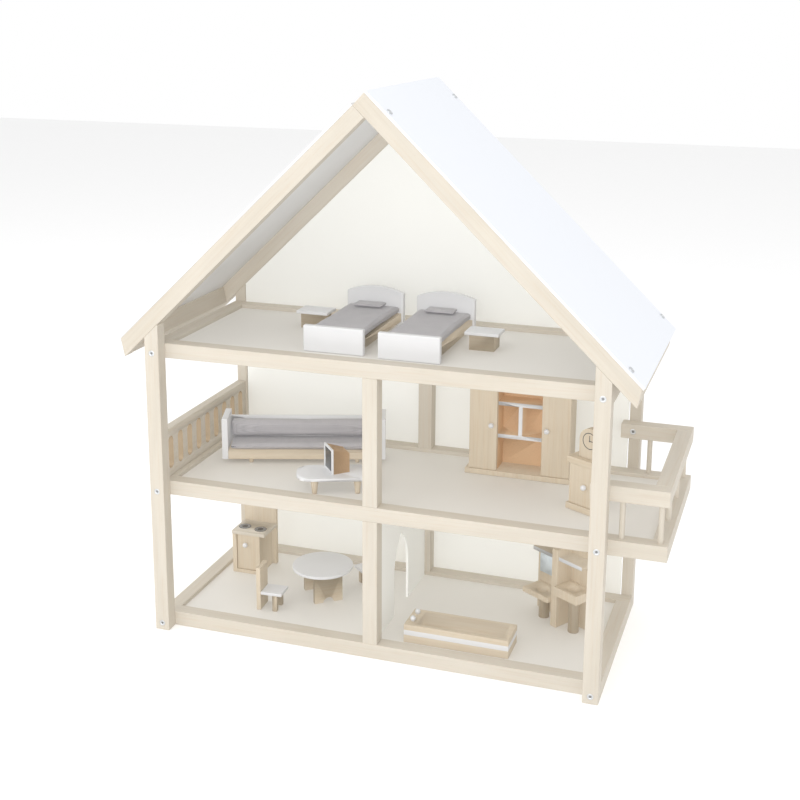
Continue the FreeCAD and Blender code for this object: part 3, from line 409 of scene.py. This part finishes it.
def own_axes(node):
    """Matrix from the house to a piece's own axes, with the origin at its low corner."""
    low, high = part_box(node)
    centre = (Vector(low) + Vector(high)) / 2
    spin = Matrix.Rotation(-radians(TURNS.get(node, 0)), 4, "Z") @ Matrix.Translation(-centre)
    corners = [spin @ vertex.co for vertex in NODES[node].data.vertices]
    start = Vector(min(corner[axis] for corner in corners) for axis in range(3))
    return Matrix.Translation(-start) @ spin


def own_size(node):
    """Length, depth and height of a piece along its own axes."""
    turn = own_axes(node)
    corners = [turn @ vertex.co for vertex in NODES[node].data.vertices]
    return Vector(max(corner[axis] for corner in corners) for axis in range(3))


def added(bm, name, beside, materials, sharp=35.0):
    """A detail that rides with a CAD node and replaces nothing."""
    mesh = bpy.data.meshes.new(name)
    for face in bm.faces:
        face.smooth = True
    bm.to_mesh(mesh)
    bm.free()
    mesh.set_sharp_from_angle(angle=radians(sharp))
    for material in materials:
        mesh.materials.append(material)
    piece = bpy.data.objects.new(name, mesh)
    bpy.context.scene.collection.objects.link(piece)
    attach(piece, NODES[beside]["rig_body"])
    return piece


def finished(bm, name, nodes, materials, sharp=35.0):
    """Turns a bmesh into a piece that rides with, and stands for, its CAD nodes."""
    piece = added(bm, name, nodes[0], materials, sharp)
    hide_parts(*nodes)
    return piece


def surfaced(node, material):
    """Gives a CAD node one finish in its own material slots."""
    node_object = NODES[node]
    if not node_object.material_slots:
        node_object.data.materials.append(None)
    for slot in node_object.material_slots:
        slot.link = "OBJECT"
        slot.material = material


def two_tone(node, materials, choose, sharp=35.0):
    """A merged copy whose faces take a material by place and facing in the piece's own axes."""
    bm = merged_copy(node)
    turn = own_axes(node)
    facing = turn.to_3x3()
    for face in bm.faces:
        centre = turn @ face.calc_center_median() / MM
        face.material_index = choose(centre, facing @ face.normal)
    return finished(bm, f"{node}_finish", [node], materials, sharp)


def disc(radius, height, segments=48):
    """Capped disc lying in the XY plane from z 0 up."""
    bm = bmesh.new()
    bmesh.ops.create_cone(
        bm, cap_ends=True, segments=segments, radius1=radius, radius2=radius, depth=height
    )
    bmesh.ops.translate(bm, verts=bm.verts, vec=(0, 0, height / 2))
    return bm


# ---------------------------------------------------------------- operators
class DOLLHOUSE_OT_frame(bpy.types.Operator):
    """Posts, floor frames, handrails, dowels and rafters in pine with the grain along each bar"""
    bl_idname = "dollhouse.frame"
    bl_label = "Timber frame"

    def execute(self, context):
        along = {
            "x": ["ground_rail_front", "ground_rail_rear", "middle_rail_front", "middle_rail_rear",
                  "attic_rail_front", "attic_rail_rear", "handrails_long"],
            "y": ["ground_rails_side", "middle_rails_side", "attic_rails_side", "handrail_side",
                  "eave_rails"],
            "z": ["post_front_left", "post_front_right", "post_rear_left", "post_rear_right",
                  "stiles_front", "studs_rear", "balusters"],
        }
        for axis, nodes in along.items():
            for node in nodes:
                surfaced(node, frame_wood(axis))
        low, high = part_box("rafter_front_right")
        run, drop = high[0] - low[0], high[2] - low[2]
        for side, way in (("left", -1), ("right", 1)):
            grain = timber(f"timber_rafter_{side}", (way * run, 0, -drop))
            for row in ("front", "rear"):
                surfaced(f"rafter_{row}_{side}", grain)
        return {"FINISHED"}


class DOLLHOUSE_OT_boards(bpy.types.Operator):
    """Floor panels, back panels, partition and roof panels"""
    bl_idname = "dollhouse.boards"
    bl_label = "Panels"

    def execute(self, context):
        finish = finishes()
        for node in ("floor_ground", "floor_middle", "floor_attic", "floor_balcony"):
            surfaced(node, painted("floor_board", tuple(finish.floor), 0.40, 0.97))
        for node in ("back_panel_ground", "back_panel_middle", "back_panel_gable", "partition_arch"):
            surfaced(node, painted("wall_board", tuple(finish.wall), 0.55, 0.975))
        outside = painted("roof_board", tuple(finish.roof), 0.34, 0.975)
        inside = painted("roof_lining", tinted(finish.wall, 1.02), 0.5)
        edge = painted("roof_edge", tinted(finish.paint, 1.06), 0.45)

        def choose(centre, normal):
            if abs(normal.y) > 0.9 or abs(normal.z) < 0.71 and abs(normal.x) > 0.70:
                return 2
            return 0 if normal.z > 0 else 1

        for node in ("roof_panel_left", "roof_panel_right"):
            two_tone(node, [outside, inside, edge], choose, 20)
        return {"FINISHED"}


class DOLLHOUSE_OT_railing(bpy.types.Operator):
    """Slotted side railing, a wide board with the grain along it and painted shade on the slot sides"""
    bl_idname = "dollhouse.railing"
    bl_label = "Side railing"

    def execute(self, context):
        def in_slot(centre, normal):
            return int(abs(normal.x) < 0.3 and 5 < centre.z < 60 and 1 < centre.y < 241)

        # Painted shade: the inner sides of the slots take a darker brown board colour, standing for the
        # shade inside the slots.
        edge = fibre_board("slot_painted_shade", tuple(finishes().warm_dark), 0.9)
        two_tone("railing_left", [frame_wood("y"), edge], in_slot)
        return {"FINISHED"}


class DOLLHOUSE_OT_bolts(bpy.types.Operator):
    """Zinc bolts with a socket sunk in each head, the socket floor darkened as painted shade"""
    bl_idname = "dollhouse.bolts"
    bl_label = "Bolts"

    def execute(self, context):
        bm = merged_copy("bolts")
        bmesh.ops.dissolve_limit(bm, angle_limit=radians(1), verts=bm.verts, edges=bm.edges)
        full = pi * (3.8 * MM) ** 2
        heads = [face for face in bm.faces if 0.94 * full < face.calc_area() < 1.03 * full]
        if len(heads) < 22:
            raise RuntimeError(f"only {len(heads)} bolt heads found")
        size = sizes()
        rim = 3.8 * MM - size.socket_width / 2
        bmesh.ops.inset_individual(bm, faces=heads, thickness=rim * 0.35, depth=0.0002)
        bmesh.ops.inset_individual(bm, faces=heads, thickness=rim * 0.65)
        bmesh.ops.inset_individual(bm, faces=heads, thickness=0.0002, depth=-size.socket_depth)
        zinc = metal("zinc", tuple(finishes().zinc))
        # Painted shade: the socket floor takes a darker copy of the zinc, standing for the shade in the
        # recess.
        dark = metal("zinc_socket_painted_shade", tinted(finishes().zinc, 0.45))
        for face in heads:
            face.material_index = 1
        finished(bm, "bolt_set", ["bolts"], [zinc, dark], 30)
        return {"FINISHED"}


def swollen(bm, voxel, cap):
    """Cloth pressed out from inside, with no point moved further than the cap."""
    mesh = bpy.data.meshes.new("stuffing")
    bm.to_mesh(mesh)
    bm.free()
    shell = bpy.data.objects.new("stuffing", mesh)
    bpy.context.scene.collection.objects.link(shell)
    remesh = shell.modifiers.new("Voxels", "REMESH")
    remesh.mode = "VOXEL"
    remesh.voxel_size = voxel
    scene = bpy.context.scene
    first = bpy.data.meshes.new_from_object(shell.evaluated_get(bpy.context.evaluated_depsgraph_get()))
    shell.modifiers.clear()
    shell.data = first
    rest = [vertex.co.copy() for vertex in first.vertices]
    moved = rest
    cloth = shell.modifiers.new("Cloth", "CLOTH")
    cloth.settings.quality = 4
    cloth.settings.use_pressure = True
    cloth.settings.uniform_pressure_force = 4
    cloth.settings.mass = 0.05
    cloth.settings.effector_weights.gravity = 0
    cloth.point_cache.frame_start = 1
    cloth.point_cache.frame_end = 20
    for step in range(1, 21):
        scene.frame_set(step)
    shown = shell.evaluated_get(bpy.context.evaluated_depsgraph_get()).to_mesh()
    moved = [vertex.co.copy() for vertex in shown.vertices]
    scene.frame_set(1)
    bm = bmesh.new()
    bm.from_mesh(first)
    bm.verts.ensure_lookup_table()
    for vertex, start, end in zip(bm.verts, rest, moved):
        step = end - start
        if step.length > cap:
            step *= cap / step.length
        vertex.co = start + step
    bpy.data.objects.remove(shell)
    return bm


def stuffed(node, name, material, seam_material, seam_at=0.5, rounding=0.0035):
    """Sewn pad in the place of a CAD node: crowned, with a seam pulled in round its sides."""
    size = sizes()
    turn = own_axes(node)
    full = own_size(node)
    shrink = size.swell * 0.8
    bm = bmesh.new()
    bmesh.ops.create_cube(bm, size=1)
    bmesh.ops.scale(bm, verts=bm.verts, vec=[max(side - 2 * shrink, side * 0.6) for side in full])
    bmesh.ops.bevel(
        bm, geom=bm.edges[:], offset=min(rounding, full.z * 0.4), segments=4, profile=0.5,
        affect="EDGES", material=-1,
    )
    bm = swollen(bm, size.voxel, size.swell)
    bmesh.ops.subdivide_edges(bm, edges=bm.edges[:], cuts=1, use_grid_fill=True)
    for repeat in range(2):
        bmesh.ops.smooth_vert(
            bm, verts=bm.verts, factor=0.5, use_axis_x=True, use_axis_y=True, use_axis_z=True
        )
    half = full / 2
    level = (seam_at - 0.5) * full.z
    reach = 0.0013
    for vertex in bm.verts:
        spot = vertex.co
        edge = max(abs(spot.x) / half.x, abs(spot.y) / half.y)
        near = 1 - abs(spot.z - level) / reach
        if edge > 0.86 and near > 0:
            pull = size.seam_depth * near * near * (3 - 2 * near)
            if abs(spot.x) / half.x > abs(spot.y) / half.y:
                spot.x -= pull * (1 if spot.x > 0 else -1)
            else:
                spot.y -= pull * (1 if spot.y > 0 else -1)
        for axis in range(3):
            spot[axis] = max(-half[axis], min(half[axis], spot[axis]))
    for face in bm.faces:
        centre = face.calc_center_median()
        edge = max(abs(centre.x) / half.x, abs(centre.y) / half.y)
        on_side = edge > 0.90 and abs(centre.z - level) < 0.00042
        face.material_index = int(on_side)
    bmesh.ops.translate(bm, verts=bm.verts, vec=half)
    bmesh.ops.transform(bm, matrix=turn.inverted(), verts=bm.verts)
    pad = finished(bm, name, [node], [material, seam_material], 70)
    return pad


class DOLLHOUSE_OT_bedding(bpy.types.Operator):
    """Mattresses and pillows, stuffed by cloth pressure"""
    bl_idname = "dollhouse.bedding"
    bl_label = "Bedding"

    def execute(self, context):
        cloth = woven("bed_cloth", tuple(finishes().cloth))
        seam = fibre_board("bed_seam", tuple(finishes().seam), 0.7)
        for side in ("left", "right"):
            stuffed(f"mattress_{side}", f"mattress_{side}_pad", cloth, cloth)
            stuffed(f"pillow_{side}", f"pillow_{side}_pad", cloth, seam, 0.45, 0.0022)
        return {"FINISHED"}


class DOLLHOUSE_OT_beds(bpy.types.Operator):
    """Beds with white end boards on timber rails"""
    bl_idname = "dollhouse.beds"
    bl_label = "Beds"

    def execute(self, context):
        for side in ("left", "right"):
            node = f"bed_{side}"
            long = own_size(node).y / MM
            two_tone(
                node, [bare_wood("y"), white_paint()],
                lambda c, n, far=long: int(c.y < 8.02 or c.y > far - 8.02),
            )
        two_tone("nightstands", [bare_wood("x"), white_paint()], lambda c, n: int(c.z > 18.95))
        return {"FINISHED"}


class DOLLHOUSE_OT_sofa(bpy.types.Operator):
    """Sofa with white ends, timber front rail and feet, and grey cushions"""
    bl_idname = "dollhouse.sofa"
    bl_label = "Sofa"

    def execute(self, context):
        angle = TURNS["sofa_frame"]
        size = own_size("sofa_frame") / MM

        def choose(centre, normal):
            end_panel = centre.x < 8.02 or centre.x > size.x - 8.02
            return int(end_panel and centre.z > 5.9 or centre.y > size.y - 4.1 and centre.z > 17)

        two_tone("sofa_frame", [wood_turned(angle), white_paint()], choose)
        cloth = woven("sofa_cloth", tuple(finishes().cloth), angle)
        seam = fibre_board("sofa_seam", tuple(finishes().seam), 0.7)
        stuffed("sofa_seat", "sofa_seat_pad", cloth, seam, 0.55)
        stuffed("sofa_cushion", "sofa_cushion_pad", cloth, cloth, 0.5, 0.005)
        return {"FINISHED"}


class DOLLHOUSE_OT_coffee_set(bpy.types.Operator):
    """Coffee table with a white slab, and a television with a domed screen"""
    bl_idname = "dollhouse.coffee_set"
    bl_label = "Coffee table and television"

    def execute(self, context):
        two_tone("coffee_table", [bare_wood("z"), white_paint()], lambda c, n: int(c.z > 17.95))
        board = fibre_board("television_board", tuple(finishes().fibre))
        two_tone("tv_set", [board, white_paint()], lambda c, n: int(c.y < 2.52))
        size = own_size("tv_set")
        rim = 2.5 * MM
        bm = bmesh.new()
        bmesh.ops.create_grid(bm, x_segments=20, y_segments=16, size=0.5)
        bmesh.ops.scale(bm, verts=bm.verts, vec=(size.x - 2 * rim, size.z - 2 * rim, 1))
        for vertex in bm.verts:
            across = 2 * vertex.co.x / (size.x - 2 * rim)
            along = 2 * vertex.co.y / (size.z - 2 * rim)
            vertex.co.z = 0.0009 * max(0.0, (1 - across ** 4) * (1 - along ** 4))
        bmesh.ops.rotate(bm, verts=bm.verts, matrix=Matrix.Rotation(radians(90), 3, "X"))
        bmesh.ops.translate(bm, verts=bm.verts, vec=(size.x / 2, 0.00092, size.z / 2))
        bmesh.ops.transform(bm, matrix=own_axes("tv_set").inverted(), verts=bm.verts)
        screen = glossy("screen", tinted(finishes().dark, 1.6), 0.10, 0.2)
        added(bm, "tv_screen", "tv_set", [screen], 60)
        return {"FINISHED"}


class DOLLHOUSE_OT_wardrobe(bpy.types.Operator):
    """Wardrobe with fibre-board lining, white shelf edges and two hinged doors"""
    bl_idname = "dollhouse.wardrobe"
    bl_label = "Wardrobe"

    def execute(self, context):
        size = own_size("wardrobe_case") / MM
        wing, board = 37, 6
        left, right = 5 + wing, size.x - 1 - wing
        fibre = fibre_board("wardrobe_lining", tuple(finishes().fibre))

        def choose(centre, normal):
            inside = 5 + board - 0.1 < centre.x < size.x - 1 - board + 0.1
            shelf = left < centre.x < right and 45 < centre.z < 101 and centre.y < size.y - 3.1
            if shelf and abs(normal.y) > 0.5 and centre.y < 12:
                return 2
            if not inside or centre.z < 7.05 and normal.z < 0.5:
                return 0
            if centre.y > size.y - 3.1 and normal.y < -0.5:
                return 1
            return int(8 < centre.y < size.y - 0.2 and 7 < centre.z < size.z - 5.9 and normal.y > -0.5)

        two_tone("wardrobe_case", [bare_wood("z"), fibre, white_paint()], choose)
        for side in ("left", "right"):
            two_tone(
                f"wardrobe_door_{side}", [bare_wood("z"), white_paint()], lambda c, n: int(c.y < 6.95)
            )
        return {"FINISHED"}


class DOLLHOUSE_OT_clock(bpy.types.Operator):
    """Clock cabinet, its door and the mantel clock with a printed dial"""
    bl_idname = "dollhouse.clock"
    bl_label = "Clock cabinet"

    def execute(self, context):
        top = own_size("clock_cabinet").z / MM
        angle = TURNS["clock_cabinet"]
        warm = wood_turned(angle)
        two_tone(
            "clock_cabinet", [bare_wood("z"), warm], lambda c, n: int(c.z < 8.02 or c.z > top - 8.02)
        )
        two_tone(
            "clock_cabinet_door", [bare_wood("z"), white_paint()], lambda c, n: int(c.y < 6.95)
        )
        surfaced("mantel_clock", bare_wood("z"))
        size = own_size("mantel_clock")
        radius = sizes().dial
        bm = bmesh.new()
        for outer, width in ((radius, 0.0010), (0.0010, 0.0009)):
            ring = bmesh.ops.create_circle(bm, cap_ends=True, segments=48, radius=outer)
            cap = ring["verts"][0].link_faces[0]
            bmesh.ops.inset_individual(bm, faces=[cap], thickness=width)
            if width < outer / 2:
                bmesh.ops.delete(bm, geom=[cap], context="FACES")
        for angle, reach in ((90, radius * 0.66), (2, radius * 0.46)):
            hand = bmesh.ops.create_grid(bm, x_segments=1, y_segments=1, size=0.5)
            bmesh.ops.scale(bm, verts=hand["verts"], vec=(reach, 0.0011, 1))
            bmesh.ops.translate(bm, verts=hand["verts"], vec=(reach / 2, 0, 0))
            bmesh.ops.rotate(bm, verts=hand["verts"], matrix=Matrix.Rotation(radians(angle), 3, "Z"))
        bmesh.ops.solidify(bm, geom=bm.faces[:], thickness=-0.00012)
        bmesh.ops.rotate(bm, verts=bm.verts, matrix=Matrix.Rotation(radians(90), 3, "X"))
        bmesh.ops.translate(bm, verts=bm.verts, vec=(size.x / 2, -0.00006, size.z - size.x / 2))
        bmesh.ops.transform(bm, matrix=own_axes("mantel_clock").inverted(), verts=bm.verts)
        added(bm, "clock_dial", "mantel_clock", [painted("dial_ink", tuple(finishes().ink))], 30)
        return {"FINISHED"}


class DOLLHOUSE_OT_kitchen(bpy.types.Operator):
    """Stove with printed hobs, round dining table and two chairs"""
    bl_idname = "dollhouse.kitchen"
    bl_label = "Kitchen"

    def execute(self, context):
        def worktop(centre, normal):
            return int(56.95 < centre.z < 64 and centre.y < 43.02)

        pale = timber("worktop_timber", AXES["x"])
        two_tone("stove_case", [bare_wood("z"), pale], worktop)
        two_tone("stove_door", [bare_wood("z"), white_paint()], lambda c, n: int(c.y < 6.95))
        bm = bmesh.new()
        for x, y in ((16, 17), (41, 14)):
            hob = disc(8.5 * MM, 0.0003)
            caps = [face for face in hob.faces if face.normal.z > 0.9]
            for width in (0.0014, 0.0008, 0.0010, 0.0006):
                bmesh.ops.inset_individual(hob, faces=caps, thickness=width)
            for face in hob.faces:
                reach = max(vertex.co.xy.length for vertex in face.verts) / MM
                pale_ring = 6.8 < reach < 7.3 or 5.0 < reach < 5.5
                face.material_index = int(pale_ring and face.normal.z > 0.9)
            bmesh.ops.translate(hob, verts=hob.verts, vec=(x * MM, y * MM, 63.0 * MM))
            held = bpy.data.meshes.new("hob")
            hob.to_mesh(held)
            hob.free()
            bm.from_mesh(held)
            bpy.data.meshes.remove(held)
        bmesh.ops.transform(bm, matrix=own_axes("stove_case").inverted(), verts=bm.verts)
        dark = glossy("hob_print", tuple(finishes().dark), 0.25, 0.4)
        light = painted("hob_ring", tinted(finishes().paint, 0.8))
        added(bm, "stove_hobs", "stove_case", [dark, light], 30)
        angle = TURNS["dining_table"]
        two_tone(
            "dining_table", [wood_turned(angle), white_paint()], lambda c, n: int(c.z > 39.95)
        )
        for side in ("left", "right"):
            two_tone(
                f"chair_{side}", [bare_wood("z"), white_paint()],
                lambda c, n: int(21.95 < c.z < 26.1 and c.x > 6.02),
            )
        return {"FINISHED"}


class DOLLHOUSE_OT_bathroom(bpy.types.Operator):
    """Layered bathtub with ball taps, and the washstand"""
    bl_idname = "dollhouse.bathroom"
    bl_label = "Bathroom"

    def execute(self, context):
        tub = own_size("bathtub") / MM

        def layer(centre, normal):
            outside = min(centre.x, centre.y, tub.x - centre.x, tub.y - centre.y) < 0.5
            return int(outside and 10.1 < centre.z < 16.8 or centre.z > 24.05)

        two_tone("bathtub", [bare_wood("x"), white_paint()], layer)
        # Painted reflection: the mirror glass gets a pale blue-grey base colour in place of what it
        # reflects.
        mirror = glossy("washstand_mirror_painted_reflection", tuple(finishes().mirror), 0.16, 0.28)
        middle, overhang = 55, 6

        def choose(centre, normal):
            x, y, z = centre.x - middle, centre.y - overhang, centre.z
            if -50.1 < x < -9.9 and 24.4 < y < 26.02 and 52.9 < z < 91.1:
                return 2
            if 92.9 < z < 98.1 and y < 2.3 and abs(x) > 5.05 and normal.y < -0.5:
                return 1
            return 0

        two_tone("washstand", [bare_wood("z"), white_paint(), mirror], choose)
        return {"FINISHED"}


class DOLLHOUSE_OT_stage(bpy.types.Operator):
    """Pale floor, soft lights and the camera"""
    bl_idname = "dollhouse.stage"
    bl_label = "Stage"

    def light(self, name, spot, target, size, power, tint=(1, 1, 1), shadow=True):
        lamp = bpy.data.lights.new(name, "AREA")
        lamp.shape = "DISK"
        lamp.size = size
        lamp.energy = power
        lamp.color = tint
        lamp.use_shadow = shadow
        made = bpy.data.objects.new(name, lamp)
        made.location = spot
        made.rotation_mode = "QUATERNION"
        made.rotation_quaternion = (Vector(target) - Vector(spot)).to_track_quat("-Z", "Y")
        bpy.context.scene.collection.objects.link(made)

    def execute(self, context):
        stage = context.scene.dollhouse_stage
        bm = bmesh.new()
        bmesh.ops.create_grid(bm, x_segments=4, y_segments=4, size=6)
        bmesh.ops.translate(bm, verts=bm.verts, vec=(0, 0, -0.0002))
        mesh = bpy.data.meshes.new("ground")
        bm.to_mesh(mesh)
        bm.free()
        mesh.materials.append(painted("ground_paint", tuple(stage.ground), 0.8, 0.995))
        ground = bpy.data.objects.new("ground", mesh)
        context.scene.collection.objects.link(ground)
        middle = (0, 0, 0.3)
        self.light("key", (-1.1, -1.6, 2.3), middle, 1.6, stage.key, (1.0, 0.985, 0.96))
        # The fills cast no shadow, so their light reaches the walls under the floors.
        self.light("front", (-0.3, -2.6, 1.2), middle, 2.2, stage.fill, shadow=False)
        self.light("left", (-2.8, -0.9, 1.0), middle, 2.2, stage.side, shadow=False)
        self.light("right", (2.8, -0.9, 1.0), middle, 2.2, stage.side, shadow=False)
        self.light("top", (0, -0.8, 3.2), middle, 2.2, stage.top, shadow=False)
        world = bpy.data.worlds.new("surroundings")
        world.use_nodes = True
        tree = world.node_tree
        sky = tree.nodes["Background"]
        sky.inputs["Color"].default_value = (1, 1, 1, 1)
        sky.inputs["Strength"].default_value = stage.sky
        shown = tree.nodes.new("ShaderNodeBackground")
        shown.inputs["Color"].default_value = (1, 1, 1, 1)
        seen = tree.nodes.new("ShaderNodeLightPath")
        choice = tree.nodes.new("ShaderNodeMixShader")
        tree.links.new(seen.outputs["Is Camera Ray"], choice.inputs[0])
        tree.links.new(sky.outputs[0], choice.inputs[1])
        tree.links.new(shown.outputs[0], choice.inputs[2])
        tree.links.new(choice.outputs[0], tree.nodes["World Output"].inputs["Surface"])
        context.scene.world = world
        context.scene.view_settings.view_transform = "Standard"
        camera = bpy.data.cameras.new("camera")
        camera.sensor_width = 36
        camera.lens = stage.lens * 1000
        camera.shift_y = -0.12
        camera.clip_start, camera.clip_end = 0.05, 50
        seat = bpy.data.objects.new("camera", camera)
        azimuth, height, roll = radians(18.467), radians(13.3537), radians(0.3037)
        back = Vector((sin(azimuth) * cos(height), -cos(azimuth) * cos(height), sin(height)))
        seat.location = (0.4975, -1.4978, 0.8027)
        seat.rotation_mode = "QUATERNION"
        aim = (-back).to_track_quat("-Z", "Y")
        seat.rotation_quaternion = aim @ Matrix.Rotation(roll, 3, "Z").to_quaternion()
        context.scene.collection.objects.link(seat)
        context.scene.camera = seat
        return {"FINISHED"}


OPERATORS = [
    DOLLHOUSE_OT_stage, DOLLHOUSE_OT_frame, DOLLHOUSE_OT_boards, DOLLHOUSE_OT_railing,
    DOLLHOUSE_OT_bolts, DOLLHOUSE_OT_beds, DOLLHOUSE_OT_bedding, DOLLHOUSE_OT_sofa,
    DOLLHOUSE_OT_coffee_set, DOLLHOUSE_OT_wardrobe, DOLLHOUSE_OT_clock, DOLLHOUSE_OT_kitchen,
    DOLLHOUSE_OT_bathroom,
]


class DOLLHOUSE_PT_panel(bpy.types.Panel):
    """Lists the pieces of the dollhouse"""
    bl_idname = "DOLLHOUSE_PT_panel"
    bl_label = "Dollhouse"
    bl_space_type = "VIEW_3D"
    bl_region_type = "UI"
    bl_category = "Dollhouse"

    def draw(self, context):
        for operator in OPERATORS:
            self.layout.operator(operator.bl_idname)
        scene = context.scene
        for group in (scene.dollhouse_finishes, scene.dollhouse_sizes, scene.dollhouse_stage):
            for name in group.__annotations__:
                self.layout.prop(group, name)


GROUPS = {
    "dollhouse_finishes": DollhouseFinishes,
    "dollhouse_sizes": DollhouseSizes,
    "dollhouse_stage": DollhouseStage,
}


def register():
    for group in GROUPS.values():
        bpy.utils.register_class(group)
    for operator in OPERATORS:
        bpy.utils.register_class(operator)
    bpy.utils.register_class(DOLLHOUSE_PT_panel)
    for name, group in GROUPS.items():
        setattr(bpy.types.Scene, name, bpy.props.PointerProperty(type=group))


def unregister():
    for name in GROUPS:
        delattr(bpy.types.Scene, name)
    bpy.utils.unregister_class(DOLLHOUSE_PT_panel)
    for operator in reversed(OPERATORS):
        bpy.utils.unregister_class(operator)
    for group in reversed(list(GROUPS.values())):
        bpy.utils.unregister_class(group)


def main():
    register()
    for operator in OPERATORS:
        group, call = operator.bl_idname.split(".")
        getattr(getattr(bpy.ops, group), call)()


if __name__ == "__main__":
    main()
